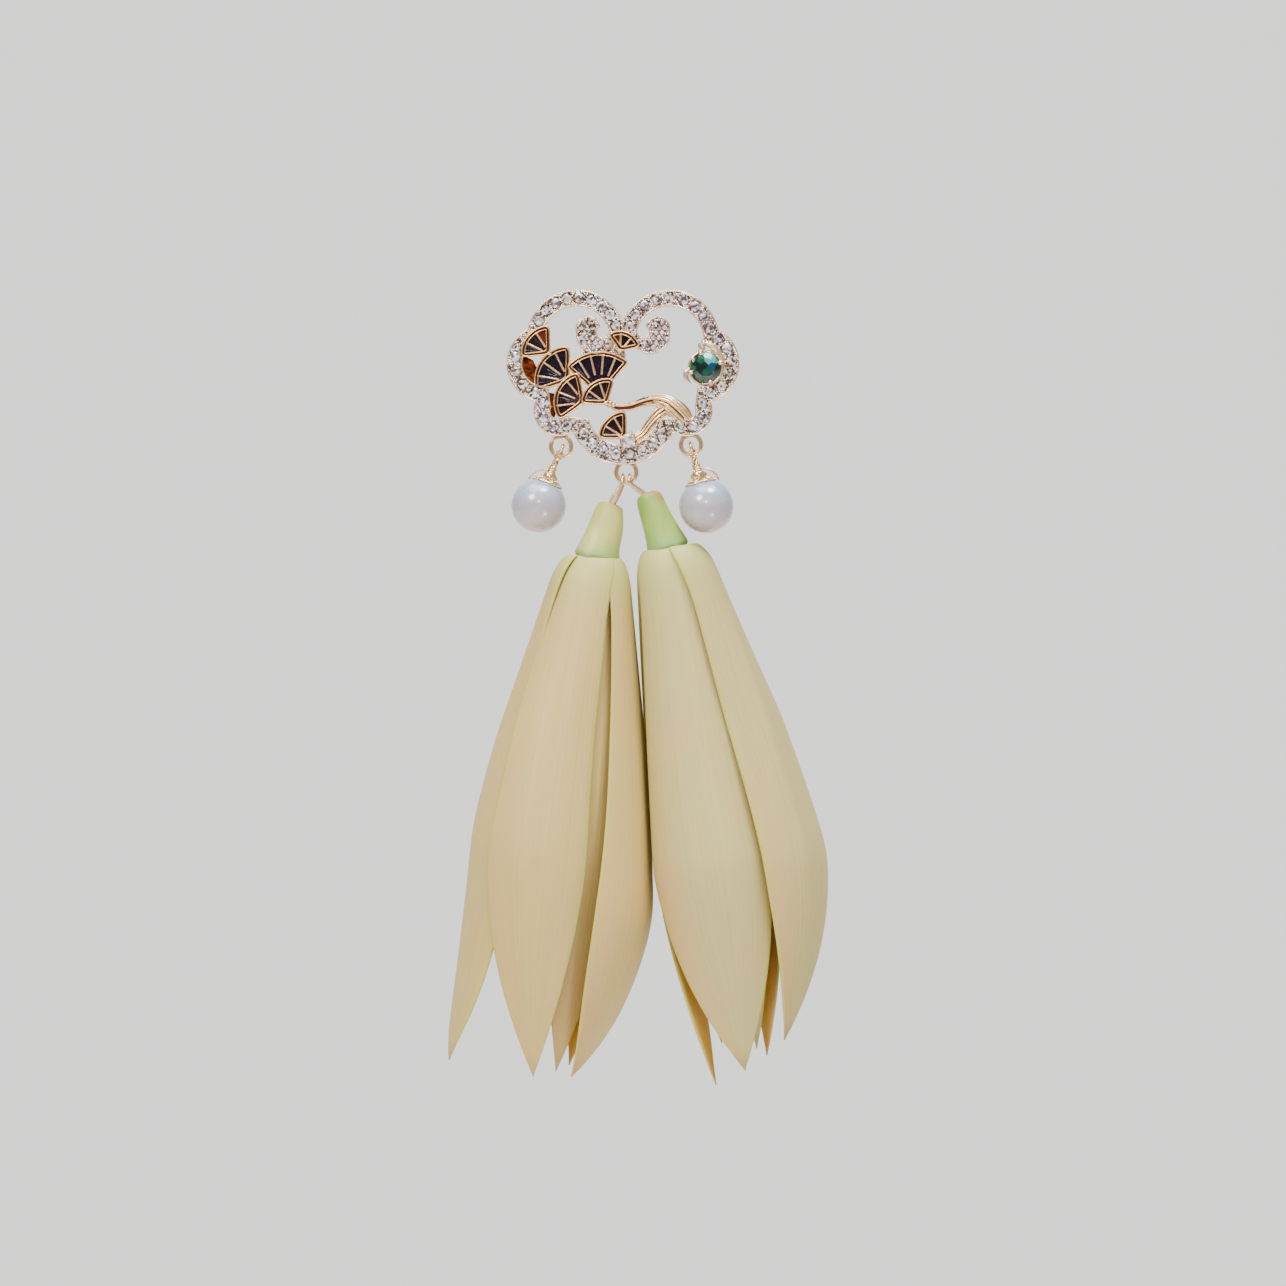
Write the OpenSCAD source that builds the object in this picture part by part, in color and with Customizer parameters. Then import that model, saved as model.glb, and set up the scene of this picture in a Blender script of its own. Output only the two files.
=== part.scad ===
// A ruyi-cloud lock brooch with pearl drops and two hanging champaca buds.
// X runs to the right, Y from the wearer's view side (-Y) to the garment (+Y), Z up.
// The origin is the middle of the pin that goes through the garment.

/* [Lock] */
// Thickness of the stone band, front to back
band_t = 1.8; // [1.6:0.1:2.2]
// Thickness of the rim on each side of the stone channel
rim_w = 0.2; // [0.16:0.01:0.22]
// Depth of the channel that holds the stones
channel_d = 0.75; // [0.65:0.05:0.9]
// Distance from the pin's middle to the back of the lock
pin_gap = 2.2; // [1.8:0.1:3]
// Radius of the pin
pin_r = 0.35; // [0.3:0.05:0.4]

/* [Stones] */
// Diameter of a stone in the band
stone_d = 1.08; // [0.9:0.02:1.08]
// Diameter of a stone in the scrolls
scroll_stone_d = 0.5; // [0.44:0.02:0.5]
// Clear distance between neighbouring stones
stone_gap = 0.11; // [0.1:0.01:0.2]
// Diameter of the green stone
green_d = 3.05; // [2.8:0.05:3.1]
// Diameter of the single white stone
white_d = 1.45; // [1.3:0.05:1.5]

/* [Fans] */
// Width of the gold wall round each fan
wall_w = 0.35; // [0.28:0.01:0.4]
// Width of a fan's ribs
rib_w = 0.19; // [0.14:0.01:0.22]
// Height step from one overlapping fan to the next
fan_step = 0.2; // [0.1:0.05:0.25]

/* [Rings and wires] */
// Mean radius of the three eyelets
eyelet_r = 1.01; // [0.95:0.01:1.1]
// Radius of the eyelets' wire
eyelet_wire_r = 0.235; // [0.2:0.005:0.25]
// Radius of the wire in the hooks and the pearl drops
wire_r = 0.2; // [0.18:0.01:0.22]
// Mean radius of a hook's bend round the central eyelet
hook_r = 0.74; // [0.72:0.01:0.78]

/* [Pearls] */
// Diameter of each pearl
pearl_d = 5.5; // [5:0.1:6]

/* [Flowers] */
// Thickness of a petal along its middle
petal_t = 0.55; // [0.45:0.05:0.6]
// Sections along a petal
petal_rows = 12; // [10:1:14]
// Strips across a petal, an even number
petal_columns = 6; // [4:2:8]

/* [Hidden] */
$fn = 48;
fit = 0.04;

back_y = -pin_gap;
front_y = back_y - band_t;
mid_y = (back_y + front_y) / 2;

// The cloud's lobes, on the right side: centre x, centre z, outer radius, radius of the hole inside
LOBE_X = 0;
LOBE_Z = 1;
LOBE_R = 2;
LOBE_HOLE = 3;
TOP_LOBE = [4.65, 0.4, 5.0, 3.4];
SIDE_LOBE = [7.8, -2.0, 3.85, 2.25];
LOW_LOBE = [6.4, -6.7, 2.55, 0.85];
BOTTOM_LOBE = [0, -6.6, 5.5, 3.55];
PAIRED_LOBES = [TOP_LOBE, SIDE_LOBE, LOW_LOBE];

// Rows of stones: lobe, first angle, last angle. The left rows are mirrored, and stop short of the side fan
RIGHT_ROWS = [
    [TOP_LOBE, 16, 162],
    [SIDE_LOBE, -72, 57],
    [LOW_LOBE, -118, 25],
    [BOTTOM_LOBE, -149.5, -30.5],
];
LEFT_ROWS = [
    [TOP_LOBE, 27, 160],
    [SIDE_LOBE, -72, 13],
    [LOW_LOBE, -118, 25],
];

// Small stones where rows meet: x, z, diameter. The left ones are mirrored
RIGHT_FILLERS = [[7.88, -5.1, 0.54], [4.68, -8.3, 0.54], [8.62, 0.66, 0.54]];
LEFT_FILLERS = [[7.88, -5.1, 0.54], [4.68, -8.3, 0.54], [10.54, -0.35, 0.74]];
FILLER_D = 2;

stone_girdle_y = front_y + 0.06;

// A scroll: a disc, the bulb that ends its curl and the curl's gap, each centre x, centre z, radius
SCROLL_DISC = [2.75, 0.95, 1.95];
SCROLL_BULB = [3.5, 1.5, 1.24];
SCROLL_GAP = [2.05, 1.2, 0.6];
scroll_pitch = scroll_stone_d + 0.07;

// The fans: name, pivot x, pivot z, radius, first angle, last angle, ribs, level, and where the ribs begin as a
// part of the radius
FAN_NAME = 0;
FAN_X = 1;
FAN_Z = 2;
FAN_R = 3;
FAN_FROM = 4;
FAN_TO = 5;
FAN_RIBS = 6;
FAN_LEVEL = 7;
FAN_HUB = 8;
FANS = [
    ["fan_side", -7.3, -1.05, 2.85, 91, 186, 2, 4, 0.3],
    ["fan_upper", -5.4, -3.7, 3.45, 89, 198, 3, 1, 0.3],
    ["fan_large", -2.3, -5.2, 4.4, 50, 139, 4, 2, 0.48],
    ["fan_lower", -3.85, -5.85, 3.05, 101, 216, 3, 3, 0.33],
    ["fan_front", -1.6, -6.05, 2.55, 74, 178, 2, 4, 0.24],
    ["fan_crown", -0.3, -0.75, 2.0, 12, 124, 2, 4, 0.28],
    ["fan_foot", 0.3, -9.45, 2.7, 90, 179, 2, 1, 0.28],
];
fan_back_y = back_y - 0.4;
fan_floor_y = fan_back_y - 0.4;
fan_front_y = fan_floor_y - 0.45;
fan_lap = 0.02;
enamel_recess = 0.12;
// The cut at a fan's corners: its distance from the pivot as a part of the radius, and how far its direction turns
// from the straight edge's
corner_cut = 0.7;
corner_turn = 41;

// The plate that ties the left fans to the band
PLATE = [
    [-9.9, -1.2], [-9.0, -1.6], [-8.6, -2.4], [-8.4, -4.6], [-6.7, -5.0], [-6.6, -6.6],
    [-6.9, -7.5], [-7.9, -6.4], [-7.9, -4.9], [-9.4, -4.1], [-10.3, -2.6],
];

// The web of metal between the left scroll, the crown fan and the large fan
WEB = [
    [-3.9, -0.2], [-4.05, -1.3], [-2.3, -1.3], [0.1, -1.9], [0.3, -1.2], [0.1, -0.6], [-0.6, -0.1], [-1.3, 0.6],
];

// The branch and its lower fork: x, z, half width, half depth
BRANCH = [
    [-1.35, -6.0, 0.2, 0.3], [-0.6, -6.35, 0.36, 0.42], [0.7, -6.28, 0.4, 0.46],
    [1.8, -5.9, 0.42, 0.5], [3.0, -5.62, 0.55, 0.55], [4.2, -5.85, 0.8, 0.6],
    [5.2, -6.5, 0.95, 0.62], [6.0, -7.2, 0.9, 0.6], [6.7, -7.9, 0.5, 0.4],
];
FORK = [
    [4.4, -6.3, 0.6, 0.5], [3.5, -7.0, 0.52, 0.46], [2.7, -7.9, 0.42, 0.42],
    [2.0, -8.9, 0.42, 0.4], [1.1, -9.6, 0.45, 0.36],
];
TWIG_X = 0;
TWIG_Z = 1;
TWIG_WIDTH = 2;
TWIG_DEPTH = 3;
branch_y = mid_y - 0.4;
branch_sides = 10;
knot_r = 0.38;

// The two single stones: centre x, centre z
GREEN_AT = [8.25, -2.4];
WHITE_AT = [0.5, -9.7];
GREEN_PRONGS = [18, 108, 198, 288];
WHITE_PRONGS = [70, 155, 238, 328];
green_girdle_y = front_y - 0.35;
white_girdle_y = front_y - 0.27;
setting_back_y = back_y - 0.2;
prong_rise = 0.3;
tip_sink = 0.06;

// The eyelets: centre x, centre z
LEFT_EYELET = [-6.2, -10.25];
RIGHT_EYELET = [6.8, -10.1];
CENTRE_EYELET = [0.33, -12.85];

// Where the two hooks hang, on each side of the middle of the central eyelet
hook_side = 0.34;
hook_z = CENTRE_EYELET[1] - sqrt(pow(eyelet_r, 2) - pow(hook_side, 2));

// The drops: centre of the loop's top bend, the wrap and the pearl, each x and z, and the side of the tail
DROP_LOOP = 0;
DROP_WRAP = 1;
DROP_PEARL = 2;
DROP_SIDE = 3;
LEFT_DROP = [[-6.2, -10.65], [-7.05, -12.5], [-8.43, -16.13], 1];
RIGHT_DROP = [[6.85, -10.45], [7.35, -12.3], [8.32, -16.2], -1];
wrap_turns = 3;
tail_at = [0.27, 1.83];
tail_r = 1.58;
tail_bend = 85;
tail_wire_r = 0.1;
drop_peg = 0.6;
drop_bore_r = wire_r + 0.06;
cap_rim_r = 1.45;
cap_top = [0.5, 0.42];
cap_wall = 0.22;
cap_lobes = 6;

// The flowers: hook x, stem top, stem foot, lean of the bud, stem foot radius, and how far the bud sits back on
// its stem, which brings its weight under the hook
FLOWER_HOOK = 0;
FLOWER_TOP = 1;
FLOWER_FOOT = 2;
FLOWER_LEAN = 3;
FLOWER_STEM_R = 4;
FLOWER_BACK = 5;
LEFT_FLOWER = [CENTRE_EYELET[0] - hook_side, [-1.3, -16.3], [-2.6, -21.1], 5, 2.4, 0.34];
RIGHT_FLOWER = [CENTRE_EYELET[0] + hook_side, [2.6, -15.4], [4.4, -20.2], -8.7, 2.2, 0.44];
stem_top_r = 1.32;
hook_depth = 1.5;
hook_drop = 0.15;

// The petals of each flower: name, place round the bud, turn about the petal's own middle, length, distances
// from the bud's axis at the root, the belly and the tip, where the belly is, how full the upper part is, the
// cup's radius as a part of the distance, half the span at the root, halfway to the belly and at the belly,
// and how late the petal tapers to its tip
PETAL_NAME = 0;
PETAL_PLACE = 1;
PETAL_TURN = 2;
PETAL_LENGTH = 3;
PETAL_ROOT = 4;
PETAL_BELLY = 5;
PETAL_TIP = 6;
PETAL_BELLY_AT = 7;
PETAL_FULL = 8;
PETAL_CUP = 9;
PETAL_ROOT_SPAN = 10;
PETAL_MID_SPAN = 11;
PETAL_SPAN = 12;
PETAL_TAPER = 13;
LEFT_PETALS = [
    ["front", -28, 20, 52.4, 3.2, 7.6, 3.8, 0.58, 1.3, 1.0, 42, 42, 43, 1.6],
    ["right", 66, -10, 52.2, 3.2, 8.2, 2.2, 0.67, 1.2, 0.87, 43, 37, 45, 2.1],
    ["back", 146, 0, 51.2, 3.2, 6.6, 3.0, 0.6, 1.5, 1.1, 34, 34, 34, 1.6],
    ["left", -92, 22, 51.6, 3.8, 9.6, 10.4, 0.56, 1.25, 0.95, 19, 20, 22, 2.8],
    ["rear", -149, 0, 49.5, 3.2, 5.9, 4.6, 0.6, 1.5, 1.1, 21, 21, 21, 1.6],
    ["inner_front", 20, 0, 51.8, 2.2, 4.9, 1.2, 0.6, 1.8, 1.0, 50, 48, 46, 1.6],
    ["inner_back", 140, 0, 49, 2.2, 4.3, 2.0, 0.6, 1.8, 1.0, 50, 50, 50, 1.6],
    ["inner_left", -98, 0, 49, 2.2, 4.3, 2.2, 0.6, 1.8, 1.0, 50, 49, 48, 1.6],
    ["core_front", -10, 0, 45, 1.3, 2.5, 0.9, 0.6, 1.8, 1.0, 66, 66, 66, 1.6],
    ["core_back", 170, 0, 44, 1.3, 2.5, 0.9, 0.6, 1.8, 1.0, 66, 66, 66, 1.6],
];
RIGHT_PETALS = [
    ["front", -8, 0, 53.0, 3.2, 6.9, 1.6, 0.6, 1.05, 1.0, 60, 60, 60, 1.6],
    ["right", 70, -20, 50.6, 4.0, 9.9, 4.4, 0.64, 1.2, 0.84, 60, 44, 38, 1.6],
    ["back", 132, 0, 52.0, 3.1, 6.2, 3.0, 0.6, 1.5, 1.1, 34, 34, 33, 1.6],
    ["left", -129, 0, 54.2, 3.2, 6.4, 4.3, 0.6, 1.2, 1.0, 32, 29, 25, 1.6],
    ["rear", -176, 0, 50, 3.2, 6.3, 3.6, 0.6, 1.5, 1.0, 12, 13, 13, 1.6],
    ["inner_front", 40, 0, 51, 2.2, 4.8, 2.0, 0.6, 1.8, 1.0, 50, 49, 48, 1.6],
    ["inner_back", 150, 0, 50, 2.2, 4.3, 2.2, 0.6, 1.8, 1.0, 50, 50, 50, 1.6],
    ["inner_left", -80, 0, 50, 2.2, 4.3, 2.2, 0.6, 1.8, 1.0, 50, 51, 52, 1.6],
    ["core_front", -10, 0, 46, 1.3, 2.5, 0.9, 0.6, 1.8, 1.0, 66, 66, 66, 1.6],
    ["core_back", 170, 0, 45, 1.3, 2.5, 0.9, 0.6, 1.8, 1.0, 66, 66, 66, 1.6],
];
petal_root_gap = 0.1;
petal_point = 0.05;
petal_edge = 0.45;
turn_done_at = 0.35;
shoulder_at = 0.055;
shoulder_in = 0.3;

FAN_NODES = [for (f = FANS) str(f[FAN_NAME], "_enamel")];
SIDES = ["left", "right"];

function polar(centre, r, a) = [centre[0] + r * cos(a), centre[1] + r * sin(a)];
function lobe_centre(l) = [l[LOBE_X], l[LOBE_Z]];
function row_r(l) = (l[LOBE_R] + l[LOBE_HOLE]) / 2;
function row_steps(r, from, to, d) = floor((to - from) * PI / 180 * r / (d + stone_gap));
// The angles of a row's stones, and the angles halfway between them
function row_angles(row) =
    let (n = row_steps(row_r(row[0]), row[1], row[2], stone_d))
    [for (i = [0:n]) row[1] + (row[2] - row[1]) * i / n];
function in_round(p, d, room) = norm(p - [d[0], d[1]]) < d[2] - room;
// Whether a point of the right scroll is inside its edge by some room
function in_scroll(p, room) =
    !in_round(p, SCROLL_GAP, -room) && (in_round(p, SCROLL_BULB, room)
        || in_round(p, SCROLL_DISC, room) && (p[0] > SCROLL_BULB[0] || p[1] < SCROLL_GAP[1] - room));
// Whether a point is clear of a fan's outline by some room
function clear_of_fan(p, f, room) =
    let (v = p - [f[FAN_X], f[FAN_Z]], far = norm(v), slack = asin(min(1, room / far)), a = atan2(v[1], v[0]))
    far > f[FAN_R] + room || a < f[FAN_FROM] - slack || a > f[FAN_TO] + slack;
// The places of the small stones on one scroll, in close rows
function scroll_places(side) = [
    for (i = [-4:4], j = [-4:4])
        let (
            p = [SCROLL_DISC[0] + (j + (i % 2 == 0 ? 0 : 0.5)) * scroll_pitch,
                SCROLL_DISC[1] + (i + 0.3) * scroll_pitch * sin(60)],
            place = [side * p[0], p[1]]
        )
        if (in_scroll(p, rim_w + scroll_stone_d / 2 + 0.01)
            && min([for (f = FANS) clear_of_fan(place, f, scroll_stone_d / 2 + 0.05) ? 1 : 0]) == 1) place
];
function between(list) = [for (i = [1:len(list) - 1]) (list[i - 1] + list[i]) / 2];

// Draws its children in the X and Z plane and raises them from one Y to a nearer one
module raise(from_y, to_y) {
    translate([0, from_y, 0]) rotate([90, 0, 0]) linear_extrude(from_y - to_y) children();
}

module both_sides() {
    children();
    mirror([1, 0, 0]) children();
}

// Turns its children's Z axis from one point of the X and Z plane towards another
module aim(from, to, y = mid_y) {
    turn = atan2(to[0] - from[0], to[1] - from[1]);
    translate([from[0], y, from[1]]) rotate([0, turn, 0]) children();
}

module disc(d, grow = 0) {
    translate([d[0], d[1]]) circle(d[2] + grow);
}

module ring(r, wire) {
    rotate_extrude() translate([r, 0]) circle(wire, $fn = 24);
}

// The cloud's outline, set back from its edge
module cloud(inset) {
    both_sides() for (l = PAIRED_LOBES) translate(lobe_centre(l)) circle(l[LOBE_R] - inset);
    translate(lobe_centre(BOTTOM_LOBE)) circle(BOTTOM_LOBE[LOBE_R] - inset);
}

// The opening inside the band, grown by a rim
module window(grow) {
    both_sides() for (l = PAIRED_LOBES) translate(lobe_centre(l)) circle(l[LOBE_HOLE] + grow);
    translate(lobe_centre(BOTTOM_LOBE)) circle(BOTTOM_LOBE[LOBE_HOLE] + grow);
    right = [
        [1.2, 0.8 + grow], [5, 0], [7.5 + grow, -3.9], [7.2 + grow, -6.2],
        [6.8 + grow, -7.1 - grow], [5, -7.4 - grow], [3.4, -7.6 - grow],
    ];
    left = [for (i = [len(right) - 1:-1:0]) [-right[i][0], right[i][1]]];
    polygon(concat(right, left));
}

// One scroll on the right side, set back from its edge
module scroll(inset) {
    difference() {
        union() {
            difference() {
                disc(SCROLL_DISC, -inset);
                translate([0, SCROLL_GAP[1] - inset]) square([SCROLL_BULB[0], 2 * SCROLL_DISC[2]]);
            }
            disc(SCROLL_BULB, -inset);
        }
        disc(SCROLL_GAP, inset);
    }
}

// The beads of metal between a row's stones
module row_beads(row) {
    side = row_r(row[0]);
    bead_r = 0.12;
    off = 0.5;
    for (a = between(row_angles(row)), r = [side - off, side + off])
        translate(polar(lobe_centre(row[0]), r, a)) circle(bead_r, $fn = 16);
}

module band() {
    difference() {
        raise(back_y, front_y) {
            difference() {
                cloud(0);
                window(0);
            }
            both_sides() scroll(0);
        }
        raise(front_y + channel_d, front_y - 1) difference() {
            union() {
                difference() {
                    cloud(rim_w);
                    window(rim_w);
                }
                both_sides() scroll(rim_w);
            }
            for (row = RIGHT_ROWS) row_beads(row);
            mirror([1, 0]) for (row = LEFT_ROWS) row_beads(row);
        }
    }
}

function fan_pivot(f) = [f[FAN_X], f[FAN_Z]];
function fan_y(f) = fan_front_y - f[FAN_LEVEL] * fan_step;

// A fan's sector with its two corners cut, set back from its edge
module sector(f, inset) {
    pivot = fan_pivot(f);
    half = (f[FAN_TO] - f[FAN_FROM]) / 2;
    middle = (f[FAN_TO] + f[FAN_FROM]) / 2;
    apex = polar(pivot, inset / sin(half), middle);
    edge = (corner_cut * f[FAN_R] - inset * (1 + cos(half + corner_turn) / sin(half))) / cos(corner_turn);
    first = polar(apex, edge, f[FAN_FROM]);
    last = polar(apex, edge, f[FAN_TO]);
    intersection() {
        translate(pivot) circle(f[FAN_R] - inset);
        polygon([
            apex, first, polar(first, f[FAN_R], f[FAN_FROM] + 90 - corner_turn),
            polar(pivot, 3 * f[FAN_R], middle), polar(last, f[FAN_R], f[FAN_TO] - 90 + corner_turn), last,
        ]);
    }
}

// The fans that lie over a fan
module covers(f, grow) {
    for (g = FANS) if (g[FAN_LEVEL] > f[FAN_LEVEL]) sector(g, -grow);
}

module ribs(f, w) {
    for (i = [1:f[FAN_RIBS]])
        translate(fan_pivot(f)) rotate(f[FAN_FROM] + (f[FAN_TO] - f[FAN_FROM]) * i / (f[FAN_RIBS] + 1))
            translate([f[FAN_HUB] * f[FAN_R], -w / 2]) square([(1 - f[FAN_HUB]) * f[FAN_R] - wall_w / 2, w]);
}

module fan(f) {
    raise(fan_back_y, fan_y(f)) difference() {
        sector(f, 0);
        covers(f, -fan_lap);
    }
}

// The hollow cells that hold a fan's enamel
module cells(f) {
    raise(fan_floor_y, front_y - 1) difference() {
        sector(f, wall_w);
        ribs(f, rib_w);
        covers(f, 0);
    }
}

module enamel(f) {
    raise(fan_floor_y - fit, fan_y(f) + enamel_recess) difference() {
        sector(f, wall_w + fit);
        ribs(f, rib_w + 2 * fit);
        covers(f, fit);
    }
}

// A closed solid through rings that all have the same number of points
module loft(rings) {
    n = len(rings[0]);
    last = len(rings) - 1;
    polyhedron(
        points = [for (r = rings, p = r) p],
        faces = concat(
            [for (i = [0:last - 1], j = [0:n - 1]) [i * n + j, i * n + (j + 1) % n, (i + 1) * n + (j + 1) % n]],
            [for (i = [0:last - 1], j = [0:n - 1]) [i * n + j, (i + 1) * n + (j + 1) % n, (i + 1) * n + j]],
            [[for (j = [n - 1:-1:0]) j]],
            [[for (j = [0:n - 1]) last * n + j]]
        )
    );
}

// A round branch through stations of x, z, half width and half depth
module twig(stations) {
    last = len(stations) - 1;
    loft([for (i = [0:last])
        let (
            a = stations[max(i - 1, 0)],
            b = stations[min(i + 1, last)],
            s = stations[i],
            run = [b[TWIG_X] - a[TWIG_X], b[TWIG_Z] - a[TWIG_Z]],
            across = [-run[1], run[0]] / norm(run) * s[TWIG_WIDTH]
        )
        [for (j = [0:branch_sides - 1]) let (t = 360 * j / branch_sides)
            [s[TWIG_X] + across[0] * cos(t), branch_y + s[TWIG_DEPTH] * sin(t), s[TWIG_Z] + across[1] * cos(t)]]
    ]);
}

// Prongs round a stone: posts beside the girdle with round tips that lean over its edge
module prongs(at, d, angles, girdle_y, foot_y, post_r) {
    for (a = angles) {
        p = polar(at, d / 2 + post_r + fit, a);
        tip = polar(at, d / 2 + post_r - 0.1, a);
        translate([p[0], foot_y, p[1]]) rotate([90, 0, 0])
            cylinder(r = post_r, h = foot_y - girdle_y + prong_rise, $fn = 16);
        translate([tip[0], girdle_y - prong_rise + tip_sink, tip[1]]) rotate([90, 0, 0])
            sphere(post_r + 0.05, $fn = 20);
    }
}

module settings() {
    // The green stone's gallery ring and the crescent that joins it to the band
    raise(green_girdle_y + 1.5, green_girdle_y + 0.75) difference() {
        translate(GREEN_AT) circle(green_d / 2 + 0.25);
        translate(GREEN_AT) circle(green_d / 2 - 0.3);
    }
    raise(setting_back_y, green_girdle_y + 0.3) intersection() {
        difference() {
            translate(GREEN_AT) circle(green_d / 2 + 0.4);
            translate(GREEN_AT) circle(green_d / 2 + 0.1);
        }
        translate([GREEN_AT[0] + 0.5, GREEN_AT[1] - 1.2]) square([3, 3.2]);
    }
    prongs(GREEN_AT, green_d, GREEN_PRONGS, green_girdle_y, green_girdle_y + 1.2, 0.2);
    // The white stone's cup, tied to the band below it
    raise(setting_back_y, white_girdle_y + 0.75) {
        translate(WHITE_AT) circle(white_d / 2 + 0.1);
        translate([WHITE_AT[0] - 0.3, WHITE_AT[1] - 1.1]) square([0.6, 1]);
    }
    prongs(WHITE_AT, white_d, WHITE_PRONGS, white_girdle_y, white_girdle_y + 0.8, 0.15);
}

module eyelet(at) {
    translate([at[0], mid_y, at[1]]) rotate([90, 0, 0]) ring(eyelet_r, eyelet_wire_r);
    lug = 0.9;
    translate([at[0] - lug / 2, mid_y - eyelet_wire_r, at[1] + eyelet_r - 0.1])
        cube([lug, 2 * eyelet_wire_r, 0.5]);
}

module lock_frame() {
    color("#d9ad74") {
        difference() {
            union() {
                band();
                for (f = FANS) fan(f);
                raise(fan_back_y, fan_floor_y - 0.2) polygon(PLATE);
                raise(fan_back_y, front_y + 0.35) polygon(WEB);
            }
            for (f = FANS) cells(f);
        }
        twig(BRANCH);
        twig(FORK);
        translate([BRANCH[0][TWIG_X], branch_y, BRANCH[0][TWIG_Z]]) rotate([0, 90, 0]) rotate([90, 0, 0]) sphere(knot_r);
        settings();
        for (at = [LEFT_EYELET, RIGHT_EYELET, CENTRE_EYELET]) eyelet(at);
    }
}

// A cut stone, its table towards -Y: a table, a crown of triangles and a pavilion to a point
module cut_stone(at, girdle_y, d, sides = 8) {
    table_r = 0.3 * d;
    crown_h = 0.17 * d;
    pavilion_h = 0.42 * d;
    turn = 180 / sides;
    points = concat(
        [for (i = [0:sides - 1]) [table_r * cos(i * 2 * turn), table_r * sin(i * 2 * turn), crown_h]],
        [for (i = [0:sides - 1]) [d / 2 * cos((2 * i + 1) * turn), d / 2 * sin((2 * i + 1) * turn), 0]],
        [[0, 0, -pavilion_h]]
    );
    faces = concat(
        [[for (i = [sides - 1:-1:0]) i]],
        [for (i = [0:sides - 1]) [i, (i + 1) % sides, sides + i]],
        [for (i = [0:sides - 1]) [(i + 1) % sides, sides + (i + 1) % sides, sides + i]],
        [for (i = [0:sides - 1]) [sides + i, sides + (i + 1) % sides, 2 * sides]]
    );
    translate([at[0], girdle_y, at[1]]) rotate([90, 0, 0]) polyhedron(points = points, faces = faces);
}

module row_stones(row) {
    for (a = row_angles(row))
        cut_stone(polar(lobe_centre(row[0]), row_r(row[0]), a), stone_girdle_y, stone_d);
}

module band_stones() {
    color("#e8e6ee") {
        for (row = RIGHT_ROWS) row_stones(row);
        for (s = RIGHT_FILLERS) cut_stone(s, stone_girdle_y, s[FILLER_D]);
        mirror([1, 0, 0]) {
            for (row = LEFT_ROWS) row_stones(row);
            for (s = LEFT_FILLERS) cut_stone(s, stone_girdle_y, s[FILLER_D]);
        }
    }
}

module scroll_stones() {
    color("#efeaea") for (side = [-1, 1], p = scroll_places(side)) cut_stone(p, stone_girdle_y, scroll_stone_d);
}

module green_stone() {
    color("#0e5a36") cut_stone(GREEN_AT, green_girdle_y, green_d, 16);
}

module white_stone() {
    color("#f2f2f6") cut_stone(WHITE_AT, white_girdle_y, white_d, 10);
}

// The bar on the lock's back, a post at each end and the closed pin between them
module pin_back() {
    bar = [7.7, 0.5, 0.9];
    post = [0.7, pin_gap, 0.7];
    low = -0.2;
    color("#cfa56e") {
        translate([-bar[0] / 2, back_y + fit, low]) cube(bar);
        for (side = [-1, 1])
            translate([side * (bar[0] - post[0]) / 2 - post[0] / 2, back_y + fit, -post[2] / 2]) cube(post);
        translate([-bar[0] / 2, 0, 0]) rotate([0, 90, 0]) cylinder(r = pin_r, h = bar[0]);
    }
}

function drop_reach(drop) = norm(drop[DROP_PEARL] - drop[DROP_WRAP]);

module pearl(drop) {
    color("#e9e6ee") aim(drop[DROP_WRAP], drop[DROP_PEARL]) difference() {
        translate([0, 0, drop_reach(drop)]) sphere(pearl_d / 2);
        cylinder(r = drop_bore_r, h = drop_reach(drop) + drop_peg);
    }
}

// A pierced cone with a scalloped rim that sits on the pearl
module pearl_cap(drop) {
    rim_z = drop_reach(drop) - sqrt(pow(pearl_d / 2, 2) - pow(cap_rim_r, 2));
    color("#d9b27c") aim(drop[DROP_WRAP], drop[DROP_PEARL]) difference() {
        rotate_extrude() polygon([
            [drop_bore_r, cap_top[1]], cap_top, [cap_rim_r, rim_z - cap_wall - 0.1],
            [cap_rim_r, rim_z - 0.1], [drop_bore_r, cap_top[1] + 1.3 * cap_wall],
        ]);
        for (i = [0:cap_lobes - 1]) rotate(60 * i) {
            translate([cap_rim_r + 0.14, 0, 0]) cylinder(r = 0.36, h = 3);
            rotate(30) translate([0.92, 0, 0]) cylinder(r = 0.2, h = 3);
        }
    }
}

// The wire loop through the eyelet, its wrap, the peg into the pearl and the fine tail over it
module pearl_wire(drop) {
    loop_r = 0.62;
    strand = norm(drop[DROP_WRAP] - drop[DROP_LOOP]);
    lean = atan2(loop_r - wire_r, strand);
    color("#d9b27c") {
        aim(drop[DROP_LOOP], drop[DROP_WRAP]) {
            rotate([0, 90, 0]) rotate(-90) rotate_extrude(angle = 180) translate([loop_r, 0]) circle(wire_r, $fn = 24);
            for (side = [-1, 1]) translate([0, side * loop_r, 0]) rotate([side * lean, 0, 0])
                cylinder(r = wire_r, h = strand / cos(lean), $fn = 24);
        }
        aim(drop[DROP_WRAP], drop[DROP_PEARL]) {
            translate([0, 0, -drop_peg / 2]) cylinder(r = wire_r, h = drop_reach(drop) + drop_peg, $fn = 24);
            for (i = [0:wrap_turns - 1]) translate([0, 0, -0.3 + 0.28 * i]) ring(wire_r + 0.1, 0.15);
            translate([drop[DROP_SIDE] * tail_at[0], 0, tail_at[1]]) scale([drop[DROP_SIDE], 1, 1])
                rotate([90, 0, 0]) rotate(-90) rotate_extrude(angle = tail_bend)
                    translate([tail_r, 0]) circle(tail_wire_r, $fn = 16);
        }
    }
}

// Where a hook's upright legs end and lean over to the stem
function hook_knee(flower) = [flower[FLOWER_HOOK], hook_z - hook_drop];

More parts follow.
